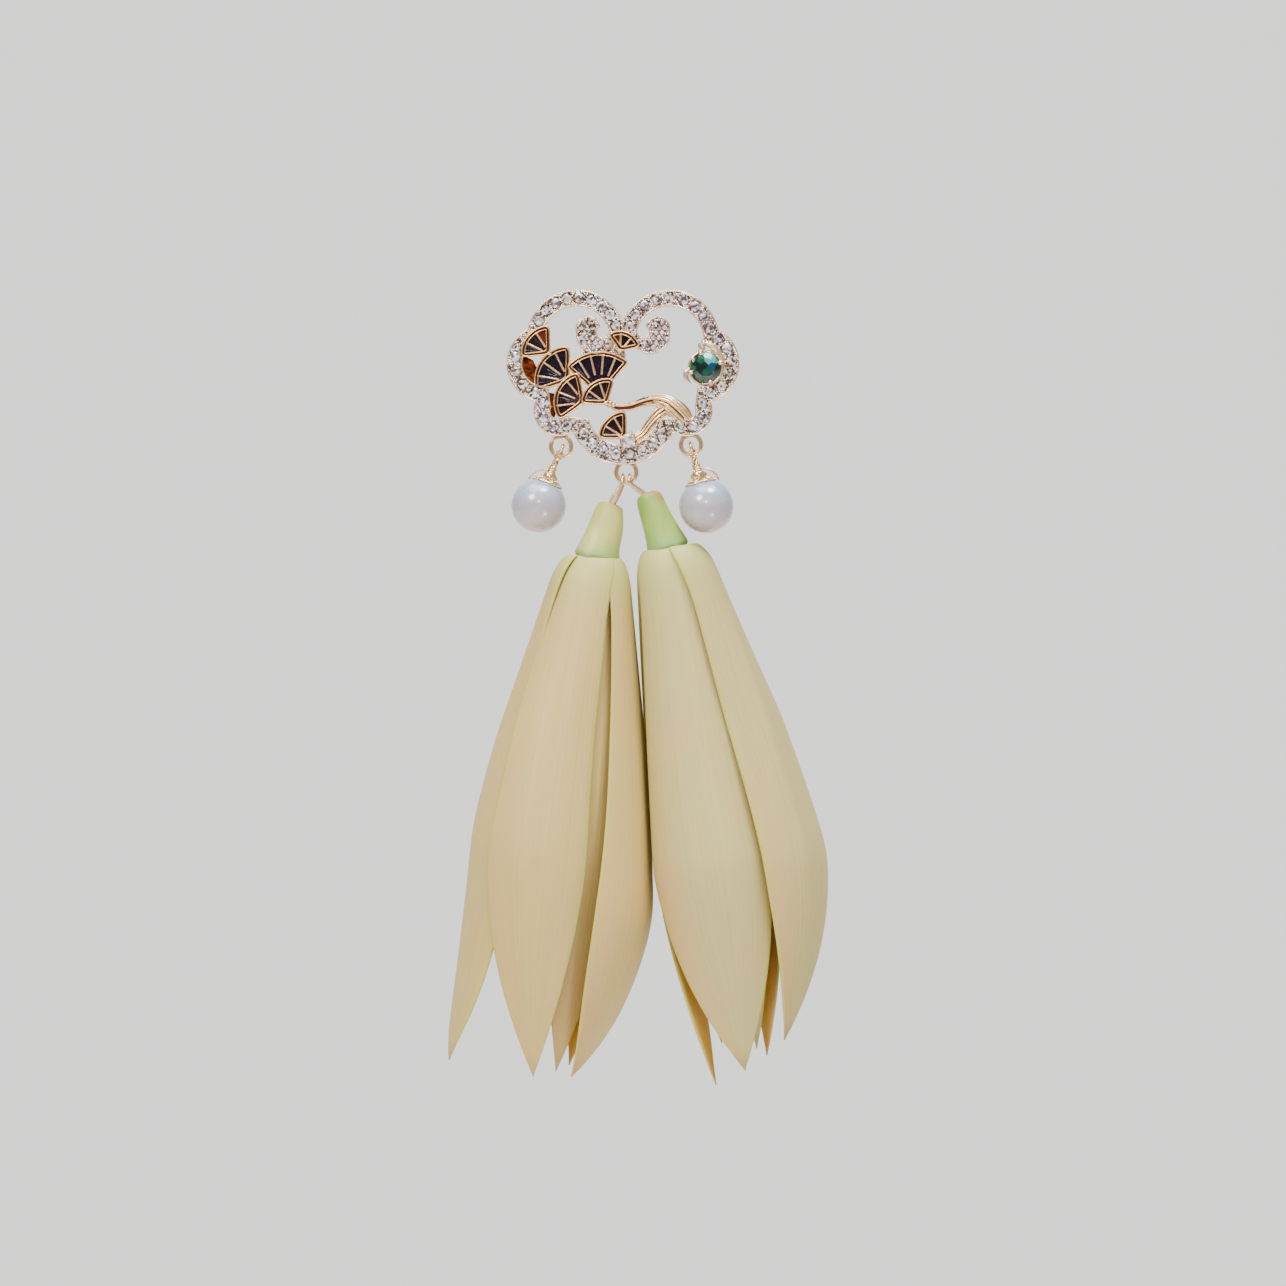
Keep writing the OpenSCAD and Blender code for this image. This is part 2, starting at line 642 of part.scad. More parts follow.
// A bend over the eyelet's wire with two upright legs that lean over into the stem
module hook(flower) {
    knee = hook_knee(flower);
    reach = norm(flower[FLOWER_TOP] - knee);
    color("#d9b27c") {
        translate([knee[0], mid_y, hook_z]) rotate([0, 90, 0]) rotate(90)
            rotate_extrude(angle = 180) translate([hook_r, 0]) circle(wire_r, $fn = 24);
        for (side = [-1, 1]) {
            translate([knee[0], mid_y + side * hook_r, knee[1]]) {
                cylinder(r = wire_r, h = hook_drop, $fn = 24);
                sphere(wire_r + 0.02, $fn = 24);
            }
            aim(knee, flower[FLOWER_TOP], mid_y + side * hook_r)
                cylinder(r = wire_r, h = reach + hook_depth, $fn = 24);
        }
    }
}

// The cut stalk: it flares towards the bud, and the hook's two ends go into its top
module stem(flower) {
    length = norm(flower[FLOWER_FOOT] - flower[FLOWER_TOP]);
    flare = flower[FLOWER_STEM_R] - stem_top_r;
    below = 10;
    color("#96ac66") difference() {
        aim(flower[FLOWER_TOP], flower[FLOWER_FOOT]) rotate_extrude() polygon([
            [0, 0], [stem_top_r - 0.15, 0], [stem_top_r, 0.15], [stem_top_r + 0.25 * flare, 0.45 * length],
            [stem_top_r + 0.62 * flare, 0.8 * length], [stem_top_r + flare, length],
            [stem_top_r + flare, 1.15 * length], [0, 1.15 * length],
        ]);
        for (side = [-1, 1]) aim(hook_knee(flower), flower[FLOWER_TOP], mid_y + side * hook_r)
            cylinder(r = wire_r + fit, h = norm(flower[FLOWER_TOP] - hook_knee(flower)) + hook_depth + fit, $fn = 24);
        bud(flower) translate([-below / 2, -below / 2, -below]) cube(below);
    }
}

// Places its children in a bud's own frame: the bud hangs down from the foot of its stem
module bud(flower) {
    translate([flower[FLOWER_FOOT][0], mid_y + flower[FLOWER_BACK], flower[FLOWER_FOOT][1]])
        rotate([0, flower[FLOWER_LEAN], 0]) children();
}

// A petal's shape at s, which runs from 0 at its root to 1 at its tip
function before(p, s) = min(1, s / p[PETAL_BELLY_AT]);
function past(p, s) = max(0, (s - p[PETAL_BELLY_AT]) / (1 - p[PETAL_BELLY_AT]));
function shoulder(s) = 1 - shoulder_in * (1 - sqrt(1 - pow(1 - min(1, s / shoulder_at), 2)));
function swell(p, s) = shoulder(s)
    * (p[PETAL_ROOT] + (p[PETAL_BELLY] - p[PETAL_ROOT]) * (1 - pow(1 - before(p, s), p[PETAL_FULL])));
function out(p, s) = swell(p, s) + (p[PETAL_TIP] - p[PETAL_BELLY]) * pow(past(p, s), 1.7);
function through_three(a, b, c, t) = a + (4 * b - 3 * a - c) * t + (2 * a - 4 * b + 2 * c) * t * t;
function half_angle(p, s) =
    through_three(p[PETAL_ROOT_SPAN], p[PETAL_MID_SPAN], p[PETAL_SPAN], before(p, s))
    * max(1 - pow(past(p, s), p[PETAL_TAPER]), petal_point);
function petal_thick(s, v) = petal_t * shoulder(s) * (1 - petal_edge * pow(abs(v), 3));

// A point of the petal: across at v from -1 to 1, and depth below its outer face
function petal_point_at(p, s, v, depth) =
    let (
        place = p[PETAL_PLACE],
        facing = place + p[PETAL_TURN] * min(1, s / turn_done_at),
        r = p[PETAL_CUP] * swell(p, s),
        a = facing + half_angle(p, s) * v,
        x = out(p, s) * sin(place) - r * sin(facing) + (r - depth) * sin(a),
        y = -out(p, s) * cos(place) + r * cos(facing) - (r - depth) * cos(a)
    )
    [x, y, -petal_root_gap - s * (p[PETAL_LENGTH] - petal_root_gap)];

module petal(flower, p) {
    n = petal_columns + 1;
    rows = [for (i = [0:petal_rows]) (1 - cos(180 * i / petal_rows)) / 2];
    across = [for (j = [0:petal_columns]) 2 * j / petal_columns - 1];
    outer = [for (s = rows, v = across) petal_point_at(p, s, v, 0)];
    inner = [for (s = rows, v = across) petal_point_at(p, s, v, petal_thick(s, v))];
    far = len(outer);
    quads = concat(
        [for (i = [0:petal_rows - 1], j = [0:petal_columns - 1])
            [i * n + j, i * n + j + 1, (i + 1) * n + j + 1, (i + 1) * n + j]],
        [for (i = [0:petal_rows - 1], j = [0:petal_columns - 1])
            [far + i * n + j, far + (i + 1) * n + j, far + (i + 1) * n + j + 1, far + i * n + j + 1]],
        [for (i = [0:petal_rows - 1]) [i * n, (i + 1) * n, far + (i + 1) * n, far + i * n]],
        [for (i = [0:petal_rows - 1])
            [i * n + n - 1, far + i * n + n - 1, far + (i + 1) * n + n - 1, (i + 1) * n + n - 1]],
        [for (j = [0:petal_columns - 1]) [j, far + j, far + j + 1, j + 1]],
        [for (j = [0:petal_columns - 1], b = petal_rows * n) [b + j, b + j + 1, far + b + j + 1, far + b + j]]
    );
    color("#d8cfae") bud(flower) polyhedron(points = concat(outer, inner),
        faces = [for (q = quads, half = [[0, 1, 2], [0, 2, 3]]) [q[half[0]], q[half[1]], q[half[2]]]]);
}

lock_frame();
band_stones();
scroll_stones();
for (i = [0:len(FANS) - 1]) color("#2b1f4d") enamel(FANS[i]);
green_stone();
white_stone();
pin_back();
pearl(LEFT_DROP);  // left_pearl
pearl_cap(LEFT_DROP);  // left_pearl_cap
pearl_wire(LEFT_DROP);  // left_pearl_wire
pearl(RIGHT_DROP);  // right_pearl
pearl_cap(RIGHT_DROP);  // right_pearl_cap
pearl_wire(RIGHT_DROP);  // right_pearl_wire
hook(LEFT_FLOWER);  // left_hook
stem(LEFT_FLOWER);  // left_stem
hook(RIGHT_FLOWER);  // right_hook
stem(RIGHT_FLOWER);  // right_stem
for (p = LEFT_PETALS) petal(LEFT_FLOWER, p);
for (p = RIGHT_PETALS) petal(RIGHT_FLOWER, p);
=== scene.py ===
from collections import namedtuple
from math import acos, asin, atan2, ceil, cos, degrees, floor, hypot, pi, radians, sin, sqrt

import bmesh
import bpy
from mathutils import Matrix, Vector


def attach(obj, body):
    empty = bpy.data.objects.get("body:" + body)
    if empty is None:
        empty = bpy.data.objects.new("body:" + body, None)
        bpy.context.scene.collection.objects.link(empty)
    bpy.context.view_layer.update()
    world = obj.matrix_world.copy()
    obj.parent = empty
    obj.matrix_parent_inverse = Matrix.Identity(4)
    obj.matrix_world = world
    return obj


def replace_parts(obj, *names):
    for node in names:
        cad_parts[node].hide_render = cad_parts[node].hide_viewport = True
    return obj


bl_info = {
    "name": "Cloud lock brooch",
    "version": (1, 0, 0),
    "blender": (4, 5, 0),
    "location": "3D View > Sidebar > Brooch",
    "description": "Builds the looks of a ruyi-cloud lock brooch with pearl drops and two hanging buds",
    "category": "Add Mesh",
}

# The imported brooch: every piece below is modelled in its millimetres and stored in metres
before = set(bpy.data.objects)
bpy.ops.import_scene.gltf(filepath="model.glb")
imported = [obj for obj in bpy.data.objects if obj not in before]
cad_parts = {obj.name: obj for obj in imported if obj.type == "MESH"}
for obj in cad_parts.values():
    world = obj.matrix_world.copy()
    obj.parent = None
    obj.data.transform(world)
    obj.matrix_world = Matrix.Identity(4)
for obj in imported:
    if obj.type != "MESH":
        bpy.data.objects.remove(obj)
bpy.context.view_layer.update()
MM = 0.001
CURVE_STEP = 0.14
TO_VIEWER = Vector((0, -1, 0))
TO_RIGHT = Vector((1, 0, 0))
UP = Vector((0, 0, 1))

Fan = namedtuple("Fan", "x z r first last ribs level rib_start")
Stone = namedtuple("Stone", "x z d girdle sides prongs prong_r")
Drop = namedtuple("Drop", "loop wrap pearl tail_side")
Flower = namedtuple("Flower", "hook_x top foot lean foot_r back")

# The lock's depths, and the width of the metal beside its stones
BACK_Y = -2.2
FRONT_Y = -4.0
MID_Y = -3.1
RIM_W = 0.2

# The cloud's lobes on the right side: centre x, centre z, outer radius, radius of the hole inside
TOP_LOBE = (4.65, 0.4, 5.0, 3.4)
SIDE_LOBE = (7.8, -2.0, 3.85, 2.25)
LOW_LOBE = (6.4, -6.7, 2.55, 0.85)
BOTTOM_LOBE = (0, -6.6, 5.5, 3.55)
LOBES = (TOP_LOBE, SIDE_LOBE, LOW_LOBE, BOTTOM_LOBE)
# The window's corners on the right side, and the scroll's round parts: centre x, centre z, radius
WINDOW = (
    (0, 0.8), (1.2, 0.8), (5, 0), (7.5, -3.9), (7.2, -6.2), (6.8, -7.1), (5, -7.4), (3.4, -7.6), (0, -7.6),
)
SCROLL_DISC = (2.75, 0.95, 1.95)
SCROLL_BULB = (3.5, 1.5, 1.24)
SCROLL_GAP = (2.05, 1.2, 0.6)

# Rows of stones: lobe, first angle, last angle, side of the lock
STONE_D = 1.08
STONE_GAP = 0.11
STONE_ROWS = (
    (TOP_LOBE, 16, 162, 1), (SIDE_LOBE, -72, 57, 1), (LOW_LOBE, -118, 25, 1),
    (BOTTOM_LOBE, -149.5, -30.5, 1),
    (TOP_LOBE, 27, 160, -1), (SIDE_LOBE, -72, 13, -1), (LOW_LOBE, -118, 25, -1),
)
# Small stones where rows meet: x, z, diameter
FILLERS = (
    (7.88, -5.1, 0.54), (4.68, -8.3, 0.54), (8.62, 0.66, 0.54),
    (-7.88, -5.1, 0.54), (-4.68, -8.3, 0.54), (-10.54, -0.35, 0.74),
)
SCROLL_STONE_D = 0.5
SCROLL_PITCH = 0.57
STONE_Y = FRONT_Y + 0.06
# The rows and columns of grains that cover the lock
GRAIN_ROWS = range(-70, 30)
GRAIN_COLUMNS = range(-50, 51)
# A cut stone's rings from its table to its culet, as parts of its diameter: radius, height over the girdle
GEM_RINGS = ((0.29, 0.17), (0.405, 0.105), (0.5, 0.012), (0.5, -0.012), (0.27, -0.24), (0.03, -0.42))

# The fans: pivot x, pivot z, radius, first angle, last angle, ribs, level, where the ribs begin
FANS = {
    "fan_side": Fan(-7.3, -1.05, 2.85, 91, 186, 2, 4, 0.3),
    "fan_upper": Fan(-5.4, -3.7, 3.45, 89, 198, 3, 1, 0.3),
    "fan_large": Fan(-2.3, -5.2, 4.4, 50, 139, 4, 2, 0.48),
    "fan_lower": Fan(-3.85, -5.85, 3.05, 101, 216, 3, 3, 0.33),
    "fan_front": Fan(-1.6, -6.05, 2.55, 74, 178, 2, 4, 0.24),
    "fan_crown": Fan(-0.3, -0.75, 2.0, 12, 124, 2, 4, 0.28),
    "fan_foot": Fan(0.3, -9.45, 2.7, 90, 179, 2, 1, 0.28),
}
FAN_FRONT_Y = -3.45
FAN_STEP = 0.2
WALL_W = 0.35
# Where a fan's corners are cut, as a part of its radius, and how far the cut turns from its middle
CORNER_CUTS = {"fan_large": 0.745}
CORNER_CUT = 0.7
CORNER_TURN = 41
# A rib: half width at its foot, what it gains towards the rim, half depth, distance from the rim
RIB_FOOT = 0.045
RIB_GAIN = 0.035
RIB_DEEP = 0.12
RIB_GAP = 0.25
BLUE_FANS = ("fan_upper", "fan_large")
# The one warmer cell in some fans: its first and last angle from the fan's middle
WARM_CELLS = {"fan_crown": (18, 60), "fan_side": (-60, -16)}
# The grains of solder where fans meet: x, z, level
SOLDER_GRAINS = ((-7.35, -0.95, 4), (-3.95, -5.95, 3), (-1.7, -5.95, 4), (-0.35, -0.7, 4), (0.2, -9.3, 1))

# The corners of the plate behind the left fans
PLATE = (
    (-9.9, -1.2), (-9.0, -1.6), (-8.6, -2.4), (-8.4, -4.6), (-6.7, -5.0), (-6.6, -6.6), (-6.9, -7.5),
    (-7.9, -6.4), (-7.9, -4.9), (-9.4, -4.1), (-10.3, -2.6),
)
PLATE_Y = -3.24
PLATE_T = 0.3
# The web between the left scroll, the crown fan and the large fan, all round to its first corner
WEB = (
    (-3.9, -0.2), (-4.05, -1.3), (-2.3, -1.3), (0.1, -1.9), (0.3, -1.2), (0.1, -0.6), (-0.6, -0.1),
    (-1.3, 0.6), (-3.9, -0.2),
)

# The branch and its fork: x, z, half width, half depth
BRANCH = (
    (-1.35, -6.0, 0.2, 0.3), (-0.6, -6.35, 0.36, 0.42), (0.7, -6.28, 0.4, 0.46), (1.8, -5.9, 0.42, 0.5),
    (3.0, -5.62, 0.55, 0.55), (4.2, -5.85, 0.8, 0.6), (5.2, -6.5, 0.95, 0.62), (6.0, -7.2, 0.9, 0.6),
    (6.7, -7.9, 0.5, 0.4),
)
FORK = (
    (4.4, -6.3, 0.6, 0.5), (3.5, -7.0, 0.52, 0.46), (2.7, -7.9, 0.42, 0.42), (2.0, -8.9, 0.42, 0.4),
    (1.1, -9.6, 0.45, 0.36),
)
BRANCH_Y = MID_Y - 0.4
# The strands laid along the branch and its fork: where along it they begin, and their angle round it
BRANCH_STRANDS = ((-0.1, 74), (-0.1, 152), (0.42, 30), (0.5, 104), (0.46, 52), (0.5, 128))
FORK_STRANDS = ((0, 25), (0.05, 70), (0, 112), (0.08, 158))

# The two beads on the branch's end: middle, radius
BRANCH_BEADS = (((-1.35, BRANCH_Y, -6.0), 0.39), ((-0.95, BRANCH_Y - 0.25, -6.12), 0.26))

# The two single stones: x, z, diameter, girdle y, sides, prong angles, prong radius
GREEN_STONE = Stone(8.25, -2.4, 3.05, FRONT_Y - 0.35, 16, (18, 108, 198, 288), 0.2)
WHITE_STONE = Stone(0.5, -9.7, 1.45, FRONT_Y - 0.27, 10, (70, 155, 238, 328), 0.15)
# A prong: how far it is bent over the stone and how far behind the girdle it is, at each of its points
PRONG = ((0, 0.9), (0, 0.3), (0, -0.12), (0.3, -0.26), (0.7, -0.3))
# The leaf claws of the green stone: half depth, then x, z and half width at each point
LEAF_CLAWS = (
    (0.16, ((7.62, 0.05, 0.12), (7.68, -0.3, 0.2), (7.85, -0.62, 0.2), (8.0, -1.0, 0.12))),
    (0.14, ((8.0, 0.0, 0.1), (8.05, -0.3, 0.16), (8.02, -0.62, 0.18), (8.02, -1.0, 0.12))),
    (0.16, ((6.98, -1.5, 0.12), (7.1, -1.72, 0.2), (7.2, -1.9, 0.14))),
    (0.18, ((6.72, -3.95, 0.1), (6.4, -3.6, 0.22), (6.25, -3.15, 0.26), (6.3, -2.8, 0.2),
            (6.6, -2.5, 0.12))),
)
# Its two bezels: first and last angle, depth behind the girdle, half width, distance out from the girdle
BEZELS = ((-100, 50, 0.02, 0.07, 0.09), (0, 360, 0.75, 0.14, 0.12))
# The arm that carries the green stone from the band: x, z, half width
STONE_ARM = ((8.1, 0.15, 0.3), (8.9, -0.15, 0.34), (9.5, -0.75, 0.3), (9.85, -1.5, 0.2))

EYELETS = {"left": (-6.2, -10.25), "right": (6.8, -10.1), "centre": (0.33, -12.85)}
EYELET_R = 1.01
WIRE_R = 0.2
# The rings that round a wire's end, as angles towards its tip
TIP_ANGLES = (28, 55, 80)

# The hidden pin: the low and high corners of its bar and its two posts, its half length and its radius
PIN_BLOCKS = (
    ((-3.85, BACK_Y + 0.04, -0.2), (3.85, BACK_Y + 0.54, 0.7)),
    ((-3.85, BACK_Y + 0.04, -0.35), (-3.15, 0.04, 0.35)),
    ((3.15, BACK_Y + 0.04, -0.35), (3.85, 0.04, 0.35)),
)
PIN_REACH = 3.6
PIN_R = 0.33

# The flowers' hooks: radius of the bend, its distance to the side of the eyelet's middle and its height,
# half the distance between the legs at the bend and what is added to it below, the drop to the knee, and
# the length held in the stalk
HOOK_R = 0.74
HOOK_SIDE = 0.34
HOOK_Z = EYELETS["centre"][1] - sqrt(EYELET_R ** 2 - HOOK_SIDE ** 2)
HOOK_CLOSE = 0.06
HOOK_APART = 0.18
HOOK_DROP = 0.15
HOOK_HELD = 1.4

# The drops: loop, wrap and pearl centres, and the side of the tail
DROPS = {
    "left": Drop((-6.2, -10.65), (-7.05, -12.5), (-8.43, -16.13), 1),
    "right": Drop((6.85, -10.45), (7.35, -12.3), (8.32, -16.2), -1),
}
PEARL_R = 2.75
CAP_R = 1.45
CAP_LEAVES = 6
CAP_BEADS = 30
SCALLOP = 0.05
# The wire over a pearl: radius of its loop, half the distance between its legs, its own radius, then the
# turns, radius and pitch of its wrap, and the radius and middle of its curved tail
LOOP_R = 0.62
STRAND_GAP = 0.17
STRAND_R = 0.165
WRAP_TURNS = 3
WRAP_R = 0.31
WRAP_PITCH = 0.24
TAIL_R = 1.58
TAIL_MIDDLE = (0.27, 1.83)

# The flowers: hook x, stem top, stem foot, lean, stem foot radius, how far back the bud sits
FLOWERS = {
    "left": Flower(-0.01, (-1.3, -16.3), (-2.6, -21.1), 5, 2.4, 0.34),
    "right": Flower(0.67, (2.6, -15.4), (4.4, -20.2), -8.7, 2.2, 0.44),
}
STEM_TOP_R = 1.32
# The stalks: how far they rise past the hook's end, how round their rim is, their share of the green
STALKS = {"left": (0.35, 0.2, (1.65, 1.12, 1.7)), "right": (0.55, 0.5, (1, 1, 1))}

# The petals: place, turn, length, root, belly, tip, belly at, fullness, cup, three spans, taper
PETALS = {
    "left": {
        "front": (-28, 20, 52.4, 3.2, 7.6, 3.8, 0.58, 1.3, 1.0, 56, 44, 43, 1.6),
        "right": (66, -10, 52.2, 3.2, 8.2, 2.2, 0.67, 1.2, 0.87, 43, 37, 45, 2.1),
        "back": (146, 0, 51.2, 3.2, 6.6, 3.0, 0.6, 1.5, 1.1, 34, 34, 34, 1.6),
        "left": (-92, 22, 51.6, 3.8, 9.6, 10.4, 0.56, 1.25, 0.95, 38, 28, 36, 3.0),
        "rear": (-149, 0, 49.5, 3.2, 5.9, 4.6, 0.6, 1.5, 1.1, 21, 21, 21, 1.6),
        "inner_front": (20, 0, 51.8, 2.2, 4.9, 1.2, 0.6, 1.8, 1.0, 50, 48, 46, 1.6),
        "inner_back": (140, 0, 49, 2.2, 4.3, 2.0, 0.6, 1.8, 1.0, 50, 50, 50, 1.6),
        "inner_left": (-98, 0, 49, 2.2, 4.3, 2.2, 0.6, 1.8, 1.0, 50, 49, 48, 1.6),
        "core_front": (-10, 0, 45, 1.3, 2.5, 0.9, 0.6, 1.8, 1.0, 66, 66, 66, 1.6),
        "core_back": (170, 0, 44, 1.3, 2.5, 0.9, 0.6, 1.8, 1.0, 66, 66, 66, 1.6),
    },
    "right": {
        "front": (-8, 0, 53.0, 3.2, 6.9, 1.6, 0.6, 1.05, 1.0, 60, 60, 60, 1.6),
        "right": (70, -20, 50.6, 4.0, 9.9, 4.4, 0.64, 1.2, 0.84, 60, 44, 38, 1.6),
        "back": (132, 0, 52.0, 3.1, 6.2, 3.0, 0.6, 1.5, 1.1, 34, 34, 33, 1.6),
        "left": (-129, 0, 54.2, 3.2, 6.4, 4.3, 0.6, 1.2, 1.0, 32, 29, 25, 1.6),
        "rear": (-176, 0, 50, 3.2, 6.3, 3.6, 0.6, 1.5, 1.0, 12, 13, 13, 1.6),
        "inner_front": (40, 0, 51, 2.2, 4.8, 2.0, 0.6, 1.8, 1.0, 50, 49, 48, 1.6),
        "inner_back": (150, 0, 50, 2.2, 4.3, 2.2, 0.6, 1.8, 1.0, 50, 50, 50, 1.6),
        "inner_left": (-80, 0, 50, 2.2, 4.3, 2.2, 0.6, 1.8, 1.0, 50, 51, 52, 1.6),
        "core_front": (-10, 0, 46, 1.3, 2.5, 0.9, 0.6, 1.8, 1.0, 66, 66, 66, 1.6),
        "core_back": (170, 0, 45, 1.3, 2.5, 0.9, 0.6, 1.8, 1.0, 66, 66, 66, 1.6),
    },
}
PETAL_T = 0.55
PETAL_GAP = 0.1
# Faces across and along a petal, and the share of its colour in red, green and blue
OUTER_GRID = (18, 46)
INNER_GRID = (12, 34)
PETAL_SHARES = {"left": (1, 1, 1), "right": (0.93, 1.02, 1.12)}

# The soft folds along some petals: where across the petal, where along it they begin, how high they rise
KEELS = {
    ("right", "front"): (0.42, 0.38, 0.8), ("left", "front"): (-0.25, 0.25, 0.6),
    ("right", "right"): (-0.1, 0.1, 0.5), ("left", "right"): (0.1, 0.3, 0.4),
}

# The photograph: its width at the brooch, and the brooch's point in its middle
PHOTO_WIDTH = 128.6
PHOTO_CENTRE = (2.0, -29.9)
CAMERA_REACH = 0.9

# The sweep's front edge, and the steps in which it is drawn out to the floor and up the wall
SWEEP_EDGE = ((-4, -3, -0.4), (4, -3, -0.4))
SWEEP_STEPS = (
    (0, 3.8, 0), *((0, 0.14 * cos(radians(a)), 0.14 * sin(radians(a))) for a in range(3, 90, 6)), (0, 0, 3),
)
# The stage's lights: place, where it points, size, power as a part of the key light's
AT_BROOCH = (0, 0, -0.03)
LIGHTS = {
    "key": ((-0.5, -0.75, 0.6), AT_BROOCH, 0.4, 1),
    "front": ((0.05, -1.2, 0.32), AT_BROOCH, 0.12, 0.3),
    "top": ((0.25, -0.25, 0.8), AT_BROOCH, 0.3, 0.6),
    "low": ((0.23, -0.36, -0.33), AT_BROOCH, 0.12, 0.04),
    "wash": ((0, 0.1, 2.2), (0, 1.8, 0), 2.5, 10),
}

# The golds of the rims, the fans and branch, the hooks and drops, the cast body, and the painted shade in the
# grooves and on the branch core:
# colour in front, its share in red, green and blue, colour of the painted shade in the hollows, roughness,
# hammering
GOLDS = {
    "polished_gold": ("gold", (1, 1, 1), "cast_gold", 0.14, 0.3),
    "warm_gold": ("gold", (0.92, 0.8, 0.62), "cast_gold", 0.2, 0.2),
    "wire_gold": ("gold", (0.95, 0.86, 0.68), "cast_gold", 0.15, 0.15),
    "cast_gold": ("cast_gold", (1, 1, 1), "painted_shade_gold", 0.2, 0.3),
    "groove_gold": ("painted_shade_gold", (0.55, 0.55, 0.55), "painted_shade_gold", 0.3, 0.3),
}


def colour_setting(name, description, default):
    return bpy.props.FloatVectorProperty(
        name=name, description=description, subtype="COLOR", size=3, min=0, max=1, default=default)


def width_setting(name, description, default, low, high):
    return bpy.props.FloatProperty(
        name=name, description=description, unit="LENGTH", min=low, max=high, default=default)


class LockSettings(bpy.types.PropertyGroup):
    gold: colour_setting("Gold", "Colour of the polished wires and rims", (0.98, 0.82, 0.6))
    # Cast gold is also the colour of the painted shade in the hollows of the wires; deep gold is painted
    # shade, laid in the body's hollows, in the grooves, on the branch core and on the back plate
    cast_gold: colour_setting("Cast gold", "Colour of the lock's body between the wires", (0.8, 0.5, 0.29))
    painted_shade_gold: colour_setting("Deep gold", "Redder gold of the walls and hollows", (0.26, 0.085, 0.04))
    pale_metal: colour_setting("Pale metal", "Colour of the grains round the stones", (0.95, 0.9, 0.86))
    rim: width_setting("Band rim", "Width of the rims along the stone band", 0.00012, 0.0001, 0.00024)
    fan_wire: width_setting("Fan wire", "Width of each wire round a fan", 0.00013, 0.0001, 0.0002)
    grain: width_setting("Grain", "Diameter of the grains round the stones", 0.00023, 0.0002, 0.00032)


class StoneSettings(bpy.types.PropertyGroup):
    clear: colour_setting("Clear stones", "Tint of the clear stones", (0.95, 0.94, 0.97))
    green: colour_setting("Green stone", "Colour of the green stone", (0.004, 0.07, 0.035))
    # painted highlight: the colour of the green stone's painted turquoise flash
    glint: colour_setting("Green stone's glint", "Colour of its turquoise flash", (0.25, 0.8, 0.75))
    blue_enamel: colour_setting("Blue enamel", "Enamel of the upper and large fans", (0.018, 0.008, 0.026))
    plum_enamel: colour_setting("Plum enamel", "Enamel of the other fans", (0.03, 0.011, 0.015))


class DropSettings(bpy.types.PropertyGroup):
    pearl: colour_setting("Pearl", "Body colour of the pearls", (0.47, 0.43, 0.47))
    twist: bpy.props.FloatProperty(
        name="Twist", description="How far the two strands above a pearl turn round each other",
        subtype="ANGLE", min=0, max=4 * pi, default=2 * pi)


class FlowerSettings(bpy.types.PropertyGroup):
    ivory: colour_setting("Petal", "Colour of a petal's outer face", (0.63, 0.49, 0.21))
    # painted shade: the inner face is a darker ochre, the shade inside the bud
    inside: colour_setting("Petal inside", "Colour of a petal's inner face", (0.52, 0.33, 0.07))
    root: colour_setting("Petal root", "Green tint where the petals meet the stalk", (0.56, 0.57, 0.22))
    stalk: colour_setting("Stalk", "Colour of the stalk", (0.3, 0.46, 0.1))


class StageSettings(bpy.types.PropertyGroup):
    pale: colour_setting("Floor", "Colour of the plain floor", (0.76, 0.755, 0.74))
    key: bpy.props.FloatProperty(
        name="Key light", description="Power of the large soft light", unit="POWER", min=0.1, max=60,
        default=7)


# Flat shapes in the X and Z plane

def polar(centre, r, a):
    return Vector((centre[0] + r * cos(radians(a)), centre[1] + r * sin(radians(a))))


def around(count):
    """Angles all round a circle, one for each of so many points"""
    return [2 * pi * k / count for k in range(count)]


def flat_to_lock(p, y=MID_Y):
    return Vector((p[0], y, p[1]))


def in_disc(p, x, z, r):
    return hypot(p[0] - x, p[1] - z) < r


def in_cloud(p, inset):
    return any(in_disc(p, x, z, r - inset) for x, z, r, hole in LOBES)


def in_window(p, grow):
    return any(in_disc(p, x, z, hole + grow) for x, z, r, hole in LOBES) or in_shape(p, WINDOW, grow)


def in_scroll(p, inset):
    disc, bulb, gap = SCROLL_DISC, SCROLL_BULB, SCROLL_GAP
    return not in_disc(p, gap[0], gap[1], gap[2] + inset) and (
        in_disc(p, bulb[0], bulb[1], bulb[2] - inset)
        or in_disc(p, disc[0], disc[1], disc[2] - inset) and (p[0] > bulb[0] or p[1] < gap[1] - inset))


def in_band(p, inset):
    """Whether a point is on the band or a scroll, set back from the edge, on either side of the lock"""
    p = (abs(p[0]), p[1])
    return (in_cloud(p, inset) and not in_window(p, inset)) or in_scroll(p, inset)


def fan_y(level):
    return FAN_FRONT_Y - level * FAN_STEP


def sector_tip(fan, inset):
    middle = (fan.first + fan.last) / 2
    return polar(fan, inset / sin(radians((fan.last - fan.first) / 2)), middle), middle


def in_fan(p, fan, inset):
    tip, middle = sector_tip(fan, inset)
    turn = (atan2(p[1] - tip[1], p[0] - tip[0]) * 180 / pi - middle + 180) % 360 - 180
    return in_disc(p, fan.x, fan.z, fan.r - inset) and abs(turn) < (fan.last - fan.first) / 2


def in_fans(p, inset, fans=FANS.values()):
    return any(in_fan(p, fan, inset) for fan in fans)


def round_curve(x, z, r, side=1):
    """Points all round a circle, each with the way out of it"""
    ways = [Vector((cos(t), sin(t))) for t in around(max(24, ceil(2 * pi * r / CURVE_STEP)))]
    return [(Vector((side * (x + way[0] * r), z + way[1] * r)), Vector((side * way[0], way[1])))
            for way in ways]


def straight_curve(a, b, side=1):
    """Points along a straight line, each with the way across it"""
    a, b = Vector((side * a[0], a[1])), Vector((side * b[0], b[1]))
    along = b - a
    count = max(2, ceil(along.length / CURVE_STEP))
    way = Vector((along[1], -along[0])).normalized()
    return [(a + along * (i + 0.5) / count, way) for i in range(count)]


